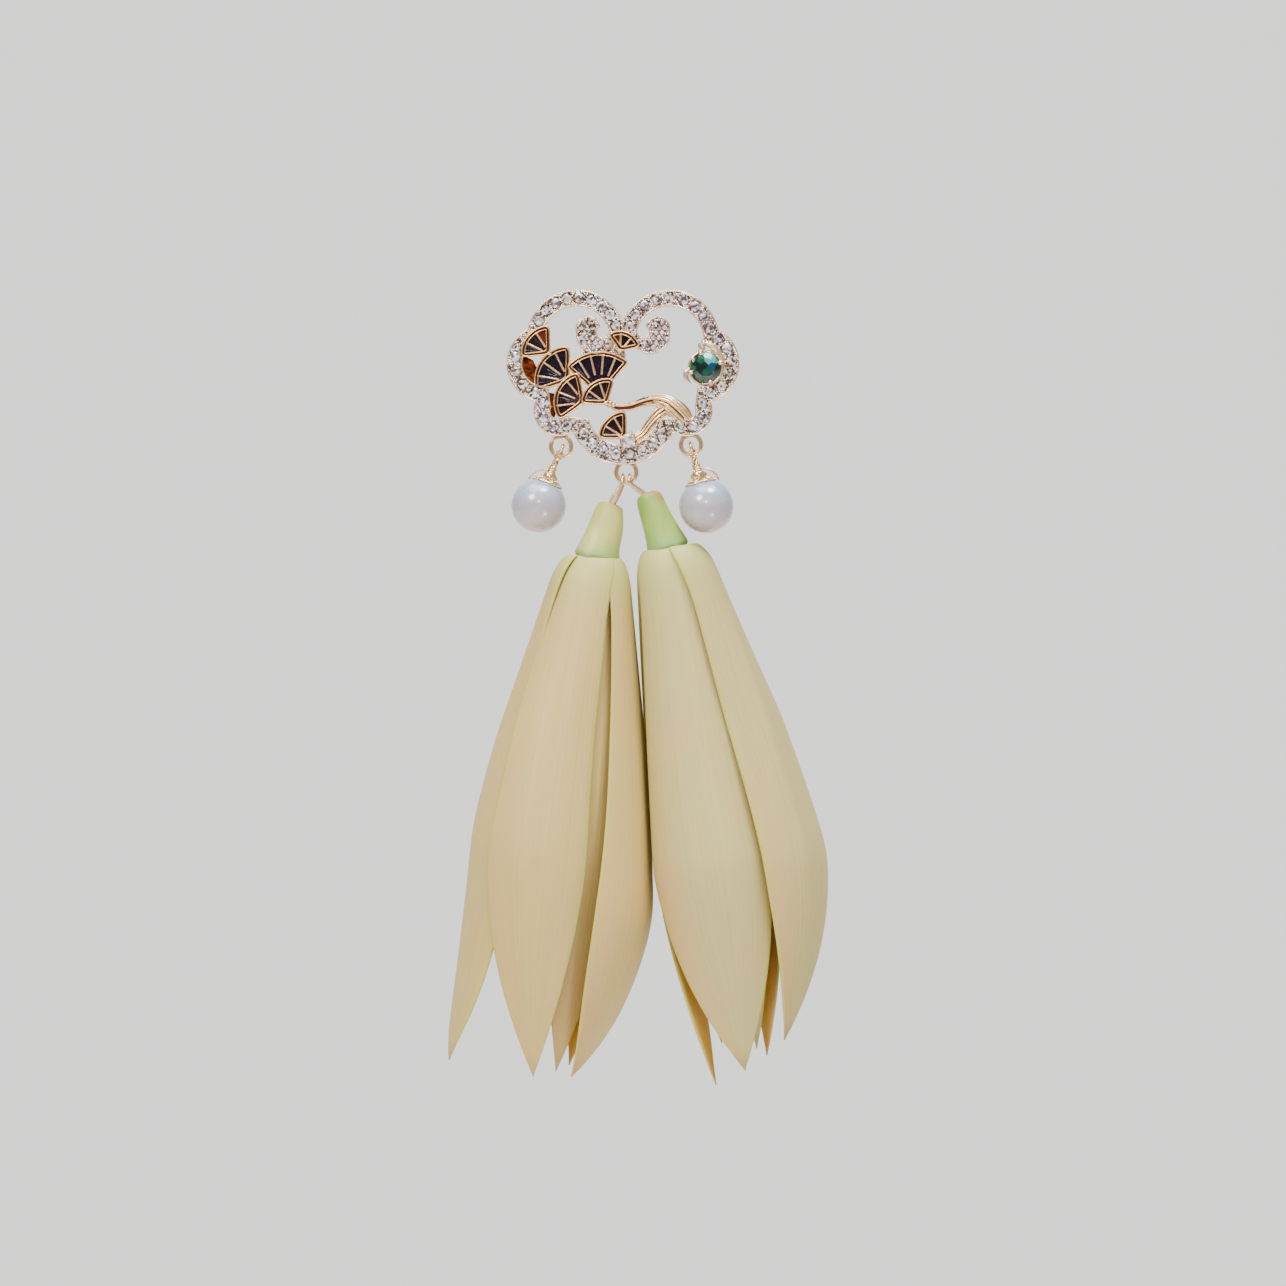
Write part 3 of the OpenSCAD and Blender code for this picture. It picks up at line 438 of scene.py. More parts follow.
def traced(inside, curves):
    """The edges of a flat region: the stretches of the curves where it begins or ends, joined end to end"""
    runs = []
    for curve in curves:
        kept = [inside(p + way * 0.02) != inside(p - way * 0.02) for p, way in curve]
        if all(kept):
            runs.append([p for p, way in curve])
            continue
        start = kept.index(False)
        run = []
        for i in range(len(curve)):
            k = (start + i) % len(curve)
            if kept[k] and (not run or (curve[k][0] - run[-1]).length < 0.5):
                run.append(curve[k][0])
            elif run:
                runs.append(run)
                run = [curve[k][0]] if kept[k] else []
        if run:
            runs.append(run)
    loops = []
    while runs:
        loop = runs.pop(0)
        while runs:
            reach, i = min((min((r[0] - loop[-1]).length, (r[-1] - loop[-1]).length), i)
                           for i, r in enumerate(runs))
            if reach > 0.6 or (loop[0] - loop[-1]).length < min(reach, 0.3) and len(loop) > 8:
                break
            run = runs.pop(i)
            loop += run if (run[0] - loop[-1]).length <= (run[-1] - loop[-1]).length else run[::-1]
        if len(loop) > 6:
            loops.append(loop)
    return loops


def band_edges(inset):
    """The outlines of the band and the scrolls, set back from their edges"""
    curves = []
    for side in (1, -1):
        for x, z, r, hole in LOBES if side == 1 else LOBES[:-1]:
            curves += [round_curve(x, z, r - inset, side), round_curve(x, z, hole + inset, side)]
        grown = [(x + (inset if x > 5 else 0), z) for x, z in WINDOW]
        curves += [straight_curve(a, b, side) for a, b in zip(grown, grown[1:])]
        curves += [round_curve(x, z, r - inset, side) for x, z, r in (SCROLL_DISC, SCROLL_BULB)]
        x, z, r = SCROLL_GAP
        curves += [round_curve(x, z, r + inset, side),
                   straight_curve((0.8, z - inset), (x, z - inset), side)]
    return traced(lambda p: in_band(p, inset), curves)


def softened(points, times=2, closed=False):
    """Points moved towards the middle of their neighbours, which rounds a path's corners"""
    points = [Vector(p) for p in points]
    for _ in range(times):
        count = len(points)
        points = [
            p if not closed and i in (0, count - 1)
            else p / 2 + (points[i - 1] + points[(i + 1) % count]) / 4
            for i, p in enumerate(points)]
    return points


def fan_edge(fan, inset, cut):
    """A fan's outline with its corners cut and rounded, set back from its edge"""
    tip, middle = sector_tip(fan, inset)
    reach, half = fan.r - inset, radians((fan.last - fan.first) / 2)
    turn = radians(CORNER_TURN)
    cut = cut * fan.r - inset
    side = (cut - inset * cos(half + turn) / sin(half)) / cos(turn)
    swing = degrees(acos(cut / reach)) - CORNER_TURN
    first, last = fan.first + swing, fan.last - swing
    start, end = polar(tip, side, fan.first), polar(tip, side, fan.last)
    arc = [polar(fan, reach, first + (last - first) * i / 36) for i in range(37)]
    legs = [tip.lerp(start, i / 14) for i in range(14)] + [start, start.lerp(arc[0], 0.5)]
    back = [arc[-1].lerp(end, 0.5)] + [end.lerp(tip, i / 14) for i in range(14)]
    return softened(legs + arc + back, 4, True)


def in_shape(p, corners, grow=0):
    """Whether a point is inside a shape with straight sides, its right side moved out by grow"""
    inside = False
    for (ax, az), (bx, bz) in zip(corners, corners[1:]):
        if (az > p[1]) != (bz > p[1]) and p[0] < ax + (p[1] - az) * (bx - ax) / (bz - az) + grow:
            inside = not inside
    return inside


def band_places():
    """Every stone of the band: its place and diameter"""
    places = []
    for lobe, first, last, side in STONE_ROWS:
        r = (lobe[2] + lobe[3]) / 2
        steps = floor((last - first) * pi / 180 * r / (STONE_D + STONE_GAP))
        for i in range(steps + 1):
            p = polar(lobe, r, first + (last - first) * i / steps)
            places.append((Vector((side * p[0], p[1])), STONE_D))
    return places + [(Vector((x, z)), d) for x, z, d in FILLERS]


def clear_of(p, fan, room):
    far = hypot(p[0] - fan.x, p[1] - fan.z)
    slack = degrees(asin(min(1, room / far)))
    turn = degrees(atan2(p[1] - fan.z, p[0] - fan.x))
    return far > fan.r + room or turn < fan.first - slack or turn > fan.last + slack


def scroll_places():
    """The small stones of both scrolls, in close rows: place and diameter"""
    places = []
    for side in (-1, 1):
        for i in range(-4, 5):
            for j in range(-4, 5):
                p = Vector((SCROLL_DISC[0] + (j + (0 if i % 2 == 0 else 0.5)) * SCROLL_PITCH,
                            SCROLL_DISC[1] + (i + 0.3) * SCROLL_PITCH * sin(pi / 3)))
                at = Vector((side * p[0], p[1]))
                if in_scroll(p, RIM_W + SCROLL_STONE_D / 2 + 0.01) and all(
                        clear_of(at, fan, SCROLL_STONE_D / 2 + 0.05) for fan in FANS.values()):
                    places.append((at, SCROLL_STONE_D))
    return places


def through_curve(stations, steps=6):
    """A smooth run through a table's rows, each with steps in-between"""
    rows = [Vector(r) for r in stations]
    smooth = []
    for i in range(len(rows) - 1):
        a, b, c, d = rows[max(i - 1, 0)], rows[i], rows[i + 1], rows[min(i + 2, len(rows) - 1)]
        for k in range(steps):
            t = k / steps
            smooth.append(b + (c - a) * t / 2 + (a * 2 - b * 5 + c * 4 - d) * t * t / 2
                          + (b * 3 - a - c * 3 + d) * t ** 3 / 2)
    return smooth + [rows[-1]]


# Mesh tools


def extruded(bm, edges):
    """Extrudes edges where they stand: the new vertices, and the new edges between them"""
    grown = bmesh.ops.extrude_edge_only(bm, edges=edges)["geom"]
    verts = [g for g in grown if isinstance(g, bmesh.types.BMVert)]
    kept = set(verts)
    return verts, [g for g in grown if isinstance(g, bmesh.types.BMEdge) and kept.issuperset(g.verts)]


def add_part(bm, part):
    """Moves one finished part of a piece into the piece's bmesh"""
    bmesh.ops.recalc_face_normals(part, faces=part.faces)
    mesh = bpy.data.meshes.new("part")
    part.to_mesh(mesh)
    part.free()
    bm.from_mesh(mesh)
    bpy.data.meshes.remove(mesh)


def ring_place(point, along, up, wide, deep):
    """The place of one ring of a wire: at a point, across the way along, with its half width and depth"""
    along = along.normalized()
    depth = (up - up.dot(along) * along).normalized()
    width = depth.cross(along)
    place = Matrix.Identity(4)
    for column, axis in enumerate((width * wide, depth * deep, along, point)):
        for row in range(3):
            place[row][column] = axis[row]
    return place


def lay_wire(bm, points, wide, deep=None, up=TO_VIEWER, sides=10, closed=False):
    """Lays a wire along points: its first ring is extruded from one point to the next"""
    points = [Vector(p) for p in points]
    count = len(points)
    wide = wide if isinstance(wide, (list, tuple)) else [wide] * count
    deep = wide if deep is None else deep if isinstance(deep, (list, tuple)) else [deep] * count
    places = []
    for i, p in enumerate(points):
        if closed:
            along = points[(i + 1) % count] - points[i - 1]
        else:
            along = points[min(i + 1, count - 1)] - points[max(i - 1, 0)]
        places.append(ring_place(p, along, up, wide[i], deep[i]))
    if not closed:
        for at, way in ((0, -1), (-1, 1)):
            along = (points[1] - points[0] if at == 0 else points[-1] - points[-2]).normalized()
            reach = min(wide[at], deep[at])
            tips = [ring_place(points[at] + along * way * reach * sin(radians(t)), along, up,
                               wide[at] * cos(radians(t)), deep[at] * cos(radians(t))) for t in TIP_ANGLES]
            places = tips[::-1] + places if at == 0 else places + tips
    part = bmesh.new()
    ring = bmesh.ops.create_circle(part, cap_ends=not closed, segments=sides, radius=1, matrix=places[0])
    first = edges = list({e for v in ring["verts"] for e in v.link_edges})
    for before, place in zip(places, places[1:]):
        moved, edges = extruded(part, edges)
        bmesh.ops.transform(part, matrix=place @ before.inverted(), verts=moved)
    if closed:
        bmesh.ops.bridge_loops(part, edges=first + edges)
    else:
        bmesh.ops.contextual_create(part, geom=edges)
    add_part(bm, part)


def add_bead(bm, centre, r, flat=1.0, detail=2, root=1.0):
    """A round grain, whose back half can be drawn out into a root"""
    part = bmesh.new()
    bmesh.ops.create_icosphere(part, subdivisions=detail, radius=r)
    bmesh.ops.scale(part, vec=(1, flat, 1), verts=part.verts)
    bmesh.ops.scale(part, vec=(1, root, 1), verts=[v for v in part.verts if v.co.y > 0])
    bmesh.ops.translate(part, vec=centre, verts=part.verts)
    add_part(bm, part)


def turned(profile, steps=40):
    """Turns a profile of radius and height about its own axis"""
    part = bmesh.new()
    verts = [part.verts.new((r, 0, z)) for r, z in profile]
    edges = [part.edges.new(pair) for pair in zip(verts, verts[1:])]
    bmesh.ops.spin(part, geom=verts + edges, cent=(0, 0, 0), axis=(0, 0, 1), angle=2 * pi, steps=steps,
                   use_merge=True)
    bmesh.ops.remove_doubles(part, verts=part.verts, dist=0.0005)
    return part


def add_gem(bm, at, girdle_y, d, sides):
    """A cut stone: a table, a crown and a pavilion whose rings turn half a side at each step"""
    part = bmesh.new()
    place = Matrix.Translation((at[0], girdle_y, at[1])) @ Matrix.Rotation(pi / 2, 4, "X")
    (r, z), *rings = GEM_RINGS
    ring = bmesh.ops.create_circle(part, cap_ends=True, segments=sides, radius=r * d)["verts"]
    bmesh.ops.translate(part, vec=(0, 0, z * d), verts=ring)
    edges = list({e for v in ring for e in v.link_edges})
    for next_r, next_z in rings:
        moved, edges = extruded(part, edges)
        turn = 0 if abs(next_z + z) < 1e-6 else pi / sides
        bmesh.ops.scale(part, vec=(next_r / r, next_r / r, 1), verts=moved)
        bmesh.ops.rotate(part, cent=(0, 0, 0), matrix=Matrix.Rotation(turn, 3, "Z"), verts=moved)
        bmesh.ops.translate(part, vec=(0, 0, (next_z - z) * d), verts=moved)
        r, z = next_r, next_z
    bmesh.ops.contextual_create(part, geom=edges)
    bmesh.ops.triangulate(part, faces=[f for f in part.faces if len(f.verts) == 4])
    bmesh.ops.transform(part, matrix=place, verts=part.verts)
    add_part(bm, part)


def make_piece(name, bm, body, slot, *finishes, smooth=True):
    """Turns a bmesh in millimetres into an object that rides on one of the brooch's bodies"""
    bmesh.ops.scale(bm, vec=(MM, MM, MM), verts=bm.verts)
    for face in bm.faces:
        face.smooth = smooth
    mesh = bpy.data.meshes.new(name)
    bm.to_mesh(mesh)
    bm.free()
    for finish in finishes:
        mesh.materials.append(finish)
    piece = bpy.data.objects.new(name, mesh)
    bpy.context.scene.collection.objects.link(piece)
    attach(piece, body)
    return piece


def softly(piece):
    """Rounds a piece once more when it is drawn"""
    soften = piece.modifiers.new("soften", "SUBSURF")
    soften.levels = soften.render_levels = 1


def dress(node, finish):
    """Gives a CAD node its finish"""
    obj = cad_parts[node]
    if not obj.material_slots:
        obj.data.materials.append(finish)
    for slot in obj.material_slots:
        slot.material = finish


# Shader tools

def shaded(colour, *shares):
    """A colour with its red, green and blue multiplied by three shares, or all of them by one"""
    return [c * k for c, k in zip(colour, shares * 3)]


class Value:
    """A shader socket that can stand in a Python sum"""

    def __init__(self, finish, socket):
        self.finish = finish
        self.socket = socket

    def math(self, operation, *others):
        return self.finish.add("ShaderNodeMath", {"operation": operation}, dict(enumerate((self, *others))))

    def __add__(self, other):
        return self.math("ADD", other)

    __radd__ = __add__

    def __sub__(self, other):
        return self.math("SUBTRACT", other)

    def __rsub__(self, other):
        return self.finish.add("ShaderNodeMath", {"operation": "SUBTRACT"}, {0: other, 1: self})

    def __mul__(self, other):
        return self.math("MULTIPLY", other)

    __rmul__ = __mul__

    def __pow__(self, other):
        return self.math("POWER", other)

    def __abs__(self):
        return self.math("ABSOLUTE")

    def step(self, low, high):
        """0 below low and 1 above high, with a soft change between them"""
        return self.finish.add("ShaderNodeMapRange", {"interpolation_type": "SMOOTHSTEP", "clamp": True},
                               {"Value": self, "From Min": low, "From Max": high})


class Finish:
    """A material under construction: its nodes, and the one shader that they feed"""

    def __init__(self, name, **constants):
        self.material = bpy.data.materials.new(name)
        self.material.use_nodes = True
        self.tree = self.material.node_tree
        self.tree.nodes.clear()
        self.shader = self.tree.nodes.new("ShaderNodeBsdfPrincipled")
        output = self.tree.nodes.new("ShaderNodeOutputMaterial")
        self.tree.links.new(self.shader.outputs[0], output.inputs[0])
        self.set({key.replace("_", " "): value for key, value in constants.items()})
        self.place = self.add("ShaderNodeTexCoord", output="Object")

    def set(self, values, node=None):
        """Links or sets the inputs of a node, or of the shader"""
        for key, value in values.items():
            socket = (node or self.shader).inputs[key]
            if isinstance(value, Value):
                self.tree.links.new(value.socket, socket)
            elif hasattr(value, "__len__") and len(value) == 3 and len(socket.default_value) == 4:
                socket.default_value = (*value, 1)
            else:
                socket.default_value = value

    def add(self, kind, settings=None, values=None, output=0):
        """Adds a node: its settings, then the values or links of its inputs"""
        node = self.tree.nodes.new(kind)
        for key, value in (settings or {}).items():
            setattr(node, key, value)
        self.set(values or {}, node)
        return Value(self, node.outputs[output])

    def axis(self, name):
        """One of the object's own coordinates, in metres"""
        return self.part_of(self.place, name)

    def mix(self, part, a, b, blend="MIX"):
        """So much of colour b laid over colour a"""
        return self.add("ShaderNodeMix", {"data_type": "RGBA", "blend_type": blend},
                        {0: part, 6: a, 7: b}, output=2)

    def coats(self, base, *coats):
        """A colour under coats, each of them so much of its own colour over all before it"""
        for part, colour in coats:
            base = self.mix(part, base, colour)
        return base

    def noise(self, scale, detail=2, stretch=(1, 1, 1), source=None, roughness=0.5):
        """Noise with so many grains to a metre, stretched along an axis"""
        place = self.add("ShaderNodeMapping", {}, {"Vector": source or self.place, "Scale": stretch})
        return self.add("ShaderNodeTexNoise", {}, {
            "Vector": place, "Scale": scale, "Detail": detail, "Roughness": roughness})

    def cells(self, scale, output):
        """Angular patches, so many to a metre: the Color of each or the Position of its middle"""
        return self.add("ShaderNodeTexVoronoi", {}, {"Vector": self.place, "Scale": scale}, output=output)

    def part_of(self, vector, name):
        """One coordinate of a vector or colour"""
        return self.add("ShaderNodeSeparateXYZ", {}, {0: vector}, output=name)

    def relief(self, height, depth, strength=1.0):
        """Gives the shader a relief of so many millimetres"""
        self.set({"Normal": self.add("ShaderNodeBump", {}, {
            "Strength": strength, "Distance": depth * MM, "Height": height})})


def gold(kind):
    """Polished plated gold, made once for each kind, with painted shade: darker and redder down in the
    hollows
    """
    if kind in bpy.data.materials:
        return bpy.data.materials[kind]
    s = bpy.context.scene.brooch_lock
    front, shares, hollows, rough, hammered = GOLDS[kind]
    tint = shaded(getattr(s, front), *shares)
    f = Finish(kind, Metallic=0.86)
    fine, broad = f.noise(3000, 3), f.noise(420, 2)
    # painted shade: surfaces set back in the lock take the darker, redder colour; this mask also makes them
    # rougher
    painted_hollow_shade = (f.axis("Y") + broad * 0.0004).step(-0.0034, -0.0026)
    skin = f.mix(fine.step(0.45, 0.75) * 0.3, tint, shaded(tint, 0.72))
    f.set({
        "Base Color": f.mix(painted_hollow_shade, skin, getattr(s, hollows)),
        "Roughness": rough + fine * 0.12 + painted_hollow_shade * 0.1,
    })
    f.relief(fine * 0.4 + broad, 0.05, hammered)
    return f.material


def painted_sparkle(f, size, bright, grey, dark):
    """Painted glints and painted shade: small angular patches, some bright, some grey and a few dark, as on a
    field of tiny facets
    """
    chance = f.part_of(f.cells(1 / size, "Color"), "X")
    tone = f.mix(chance.step(0.24, 0.42), dark, grey)
    return f.mix(chance.step(0.45, 0.6), tone, bright)


def drifting(f, colour):
    """A colour that drifts to cream and to a cool rose along the lock"""
    warm, cool = f.noise(190, 1), f.noise(150, 1)
    tint = f.mix(warm.step(0.42, 0.58) * 0.9, (1, 1, 1), (1, 0.91, 0.78))
    tint = f.mix(cool.step(0.5, 0.62) * 0.8, tint, (0.97, 0.86, 0.92))
    return f.mix(1, colour, tint, "MULTIPLY")


def grain_finish():
    """Pale plated grains, silvery with champagne and rose here and there, with painted glints and painted
    dark facets
    """
    s = bpy.context.scene.brooch_lock
    f = Finish("pale_grains", Coat_Weight=0.6, Coat_Roughness=0.05)
    f.set({
        "Base Color": drifting(f, painted_sparkle(f, 0.00021, s.pale_metal, (0.56, 0.48, 0.43), (0.16, 0.1, 0.08))),
        "Metallic": 0.35 + f.noise(2500, 1).step(0.4, 0.6) * 0.4,
        "Roughness": 0.14 + f.noise(3500, 2) * 0.16,
    })
    return f.material


def plate_finish():
    """The polished plate behind the left fans; its dark red-brown is painted shade, the dark that the
    polished gold reflects
    """
    s = bpy.context.scene.brooch_lock
    f = Finish("plate_gold", Metallic=1.0)
    dents = f.noise(1100, 3)
    f.set({
        "Base Color": f.mix(dents.step(0.45, 0.7), shaded(s.painted_shade_gold, 0.4), (0.24, 0.06, 0.025)),
        "Roughness": 0.22 + dents * 0.15,
    })
    f.relief(dents, 0.12, 0.7)
    return f.material


def clear_stone_finish(name="clear_stone", grey=(0.6, 0.55, 0.54), dark=(0.17, 0.13, 0.12)):
    """Clear stones on silver foil: painted glints and painted shade as bright, grey and dark facets, cream
    here and rosy there
    """
    s = bpy.context.scene.brooch_stones
    f = Finish(name, IOR=2.0, Coat_Weight=1.0, Coat_Roughness=0.01)
    f.set({
        "Base Color": drifting(f, painted_sparkle(f, 0.00027, s.clear, grey, dark)),
        "Metallic": 0.1 + f.noise(2300, 1).step(0.4, 0.6) * 0.5,
        "Roughness": 0.05 + f.noise(560, 1) * 0.08,
    })
    return f.material


def green_stone_finish():
    """Dark green glass with painted light: facets painted lighter at random, a painted turquoise flash, a
    painted blue one under it and a painted bright green edge on its left
    """
    s = bpy.context.scene.brooch_stones
    f = Finish("green_stone", IOR=1.75, Coat_Weight=1.0, Coat_Roughness=0.01)
    middle = f.cells(1900, "Position")
    chance = f.part_of(f.cells(1900, "Color"), "X")

    # painted highlights: each flash is a round patch of facets painted in a lighter colour at a fixed place
    # on the stone
    def flash(x, z, r):
        away = ((f.part_of(middle, "X") - x * MM) ** 2 + (f.part_of(middle, "Z") - z * MM) ** 2) ** 0.5
        return 1 - away.step((r - 0.08) * MM, (r + 0.08) * MM)

    f.set({
        "Base Color": f.coats(
            shaded(s.green, 0.1), (chance.step(0.2, 0.9), shaded(s.green, 1.3)),
            (flash(7.4, -2.3, 0.6) * chance.step(0.35, 0.6) * 0.8, (0.015, 0.22, 0.07)),
            (flash(8.95, -2.15, 0.5) * 0.8, (0.008, 0.07, 0.16)),
            (flash(8.65, -1.4, 0.75) * 0.75, shaded(s.glint, 0.45)), (flash(8.7, -1.35, 0.42), s.glint)),
        "Roughness": 0.05 + chance * 0.05,
    })
    return f.material


def enamel_finish(name, colour, fan, warm=None):
    """Dark glassy enamel with painted glints that run out from the fan's foot, and one cell warmer in some
    fans
    """
    f = Finish(name, Coat_Roughness=0.03, IOR=1.4)
    middle = radians((fan.first + fan.last) / 2)
    x, z = f.axis("X") - fan.x * MM, f.axis("Z") - fan.z * MM
    out = x * cos(middle) + z * sin(middle)
    turn = (z * cos(middle) - x * sin(middle)).math("ARCTAN2", out)
    reach = (x * x + z * z) ** 0.5
    rays = f.add("ShaderNodeCombineXYZ", {}, {0: turn * 11, 1: reach * 420, 2: fan.level})
    lines = f.noise(1, 2, source=rays)
    pool = f.noise(1500, 2)
    body = f.mix(pool.step(0.4, 0.7), colour, shaded(colour, 0.3))
    if warm:
        first, last = (turn.step(radians(a) - 0.03, radians(a) + 0.03) for a in warm)
        body = f.mix(first * (1 - last), body, (0.16, 0.03, 0.018))
    # painted highlights: streaks of a much lighter enamel colour
    glint = lines.step(0.6, 0.7) * f.noise(2600, 2).step(0.42, 0.6)
    f.set({
        "Base Color": f.mix(glint * 0.7, body, [0.1 + c * 8 for c in colour]),
        "Roughness": 0.08 + pool * 0.16,
        "Coat Weight": 0.1 + pool * 0.3,
    })
    f.relief(lines + pool * 0.4, 0.08, 0.4)
    return f.material


def pearl_finish(name, centre_z):
    """Nacre: a milky lilac body under a clear gloss, with painted light: bluer on top and rosier below"""
    s = bpy.context.scene.brooch_drops
    f = Finish(name, Subsurface_Weight=0.2, Subsurface_Scale=0.001, Coat_Roughness=0.05, IOR=1.6)
    drift = f.noise(260, 2)
    cloud = f.noise(900, 3)
    # painted light: the nacre is tinted by height, bluer on top where the light from above falls and rosier
    # below
    height = (f.axis("Z") - centre_z * MM + drift * 0.0016 - 0.0008).step(-0.0026, 0.0026)
    f.set({
        "Base Color": f.coats(
            s.pearl, (height.step(0.5, 1) * 0.8, (0.33, 0.43, 0.57)),
            ((1 - height.step(0, 0.5)) * 0.7, (0.58, 0.44, 0.41)),
            (cloud.step(0.5, 0.8) * 0.3, (0.68, 0.64, 0.66))),
        "Roughness": 0.2 + cloud * 0.16,
        "Coat Weight": 0.7 + drift * 0.3,
    })
    f.relief(cloud, 0.02, 0.4)
    return f.material


def petal_finish(name, outer, edge):
    """A petal's skin: fine veins from root to tip, a green root, a yellower edge and warm blotches"""
    s = bpy.context.scene.brooch_flowers
    f = Finish(name, Subsurface_Weight=0.18, Subsurface_Scale=0.0015, Subsurface_Radius=(1.0, 0.7, 0.3),
               Coat_Weight=0.1, Coat_Roughness=0.35, IOR=1.42)
    uv = f.add("ShaderNodeUVMap", {"uv_map": "petal"})
    across, along = f.part_of(uv, "X"), f.part_of(uv, "Y")
    veins = f.noise(1, 3, (34, 1.6, 1), uv, 0.6)
    strands = f.noise(1, 2, (110, 3.0, 1), uv)
    blotch = f.noise(110, 3)
    shady_side = (1 - across).step(0.55, 1) * along.step(0.25, 0.8)
    margin = abs(across - 0.5).step(0.4, 0.5)
    root = 1 - along.step(0.01, 0.12)
    tip = along.step(0.955, 1)
    f.set({
        "Base Color": f.coats(
            outer, (veins.step(0.3, 0.75) * 0.45, shaded(outer, 0.9, 0.84, 0.66)),
            (blotch.step(0.5, 0.75) * 0.45, (0.68, 0.44, 0.22)), (shady_side * 0.55, (0.68, 0.42, 0.2)),
            (margin * 0.7, edge), (root * 0.7, s.root), (tip * 0.45, (0.4, 0.24, 0.08))),
        "Roughness": 0.42 + veins * 0.14 + blotch * 0.06,
    })
    f.relief(veins + strands * 0.35, 0.09, 0.55)
    return f.material


def stalk_finish(name, green, top, foot):
    """A fresh stalk with lengthwise fibres and a dry, ochre cut"""
    f = Finish(name, Subsurface_Weight=0.15, Subsurface_Scale=0.001, Coat_Weight=0.15, Coat_Roughness=0.3)
    rise = f.axis("Z")
    fibre = f.noise(900, 3, (1, 1, 0.12))
    broad = f.noise(240, 3)
    to_right = f.axis("X") - top[0] * MM
    dry = (rise + broad * 0.0012 + to_right * 0.35).step((top[1] + 0.2) * MM, (top[1] + 0.9) * MM)
    low = 1 - rise.step((foot[1] - 0.2) * MM, (foot[1] + 2) * MM)
    f.set({
        "Base Color": f.coats(
            green, (fibre.step(0.35, 0.7) * 0.5, shaded(green, 1.45, 1.25, 1.3)),
            (broad.step(0.5, 0.72) * 0.3, (0.52, 0.52, 0.22)), (low * 0.6, (0.26, 0.43, 0.17)),
            (dry, (0.42, 0.32, 0.1))),
        "Roughness": 0.4 + fibre * 0.2,
    })
    f.relief(fibre + broad * 0.5, 0.08, 0.5)
    return f.material


def pale_finish():
    """The plain pale floor"""
    s = bpy.context.scene.brooch_stage
    f = Finish("pale_sweep", Roughness=0.85)
    f.set({"Base Color": f.mix(f.noise(6, 1), s.pale, shaded(s.pale, 0.985))})
    return f.material


# The brooch's pieces

def lay_edge(bm, loop, y, half, deep, hidden):
    """Lays a wire along a flat outline, except where something hides it"""
    shown = [not hidden(p) for p in loop]
    if all(shown) and (loop[0] - loop[-1]).length < 0.6:
        lay_wire(bm, [flat_to_lock(p, y) for p in softened(loop, 2, True)], half, deep, closed=True)
        return
    start = 0 if all(shown) else shown.index(False)
    run = []
    for i in range(len(loop) + 1):
        k = (start + i) % len(loop)
        if shown[k] and i < len(loop):
            run.append(flat_to_lock(loop[k], y))
            continue
        if len(run) > 3:
            lay_wire(bm, softened(run, 2), half, deep)
        run = []


class BROOCH_OT_band(bpy.types.Operator):
    """Rounds the rims of the stone band and sets the grains round its stones"""
    bl_idname = "brooch.band"
    bl_label = "Stone band"

    def execute(self, context):
        s = context.scene.brooch_lock
        dress("lock_frame", gold("cast_gold"))
        half = s.rim / MM / 2
        bm = bmesh.new()
        for loop in band_edges(half):
            lay_edge(bm, loop, FRONT_Y + 0.02, half, 0.09, lambda p: in_shape(p, WEB) or in_fans(p, 0.1))
        make_piece("band_rims", bm, "lock", "gold", gold("polished_gold"))
        self.grains(s.grain / MM)
        self.plate()
        return {"FINISHED"}

    def grains(self, step):
        """Fills the channel round the stones with close grains, and covers the web with low ones"""
        stones = band_places() + scroll_places()
        bm = bmesh.new()
        for j in GRAIN_ROWS:
            for i in GRAIN_COLUMNS:
                p = Vector(((i + j % 2 / 2) * step, j * step * sin(pi / 3)))
                if in_fans(p, -0.02):
                    continue
                if in_band(p, 0.11):
                    if all((p - at).length > d / 2 + step * 0.12 for at, d in stones):
                        add_bead(bm, (p[0], FRONT_Y + 0.03, p[1]), step * 0.56, detail=1, root=6)
                elif in_shape(p, WEB) and not in_band(p, 0):
                    add_bead(bm, (p[0], FRONT_Y + 0.33, p[1]), step * 0.54, detail=1)
        make_piece("grains", bm, "lock", "gold", grain_finish(), smooth=False)

    def plate(self):
        """The polished plate between the band and the left fans"""
        bm = bmesh.new()
        face = bm.faces.new([bm.verts.new((x, PLATE_Y, z)) for x, z in PLATE])
        grown = bmesh.ops.extrude_face_region(bm, geom=[face])["geom"]
        moved = [g for g in grown if isinstance(g, bmesh.types.BMVert)]
        bmesh.ops.translate(bm, vec=(0, PLATE_T, 0), verts=moved)
        bmesh.ops.recalc_face_normals(bm, faces=bm.faces)
        make_piece("back_plate", bm, "lock", "gold", plate_finish(), smooth=False)


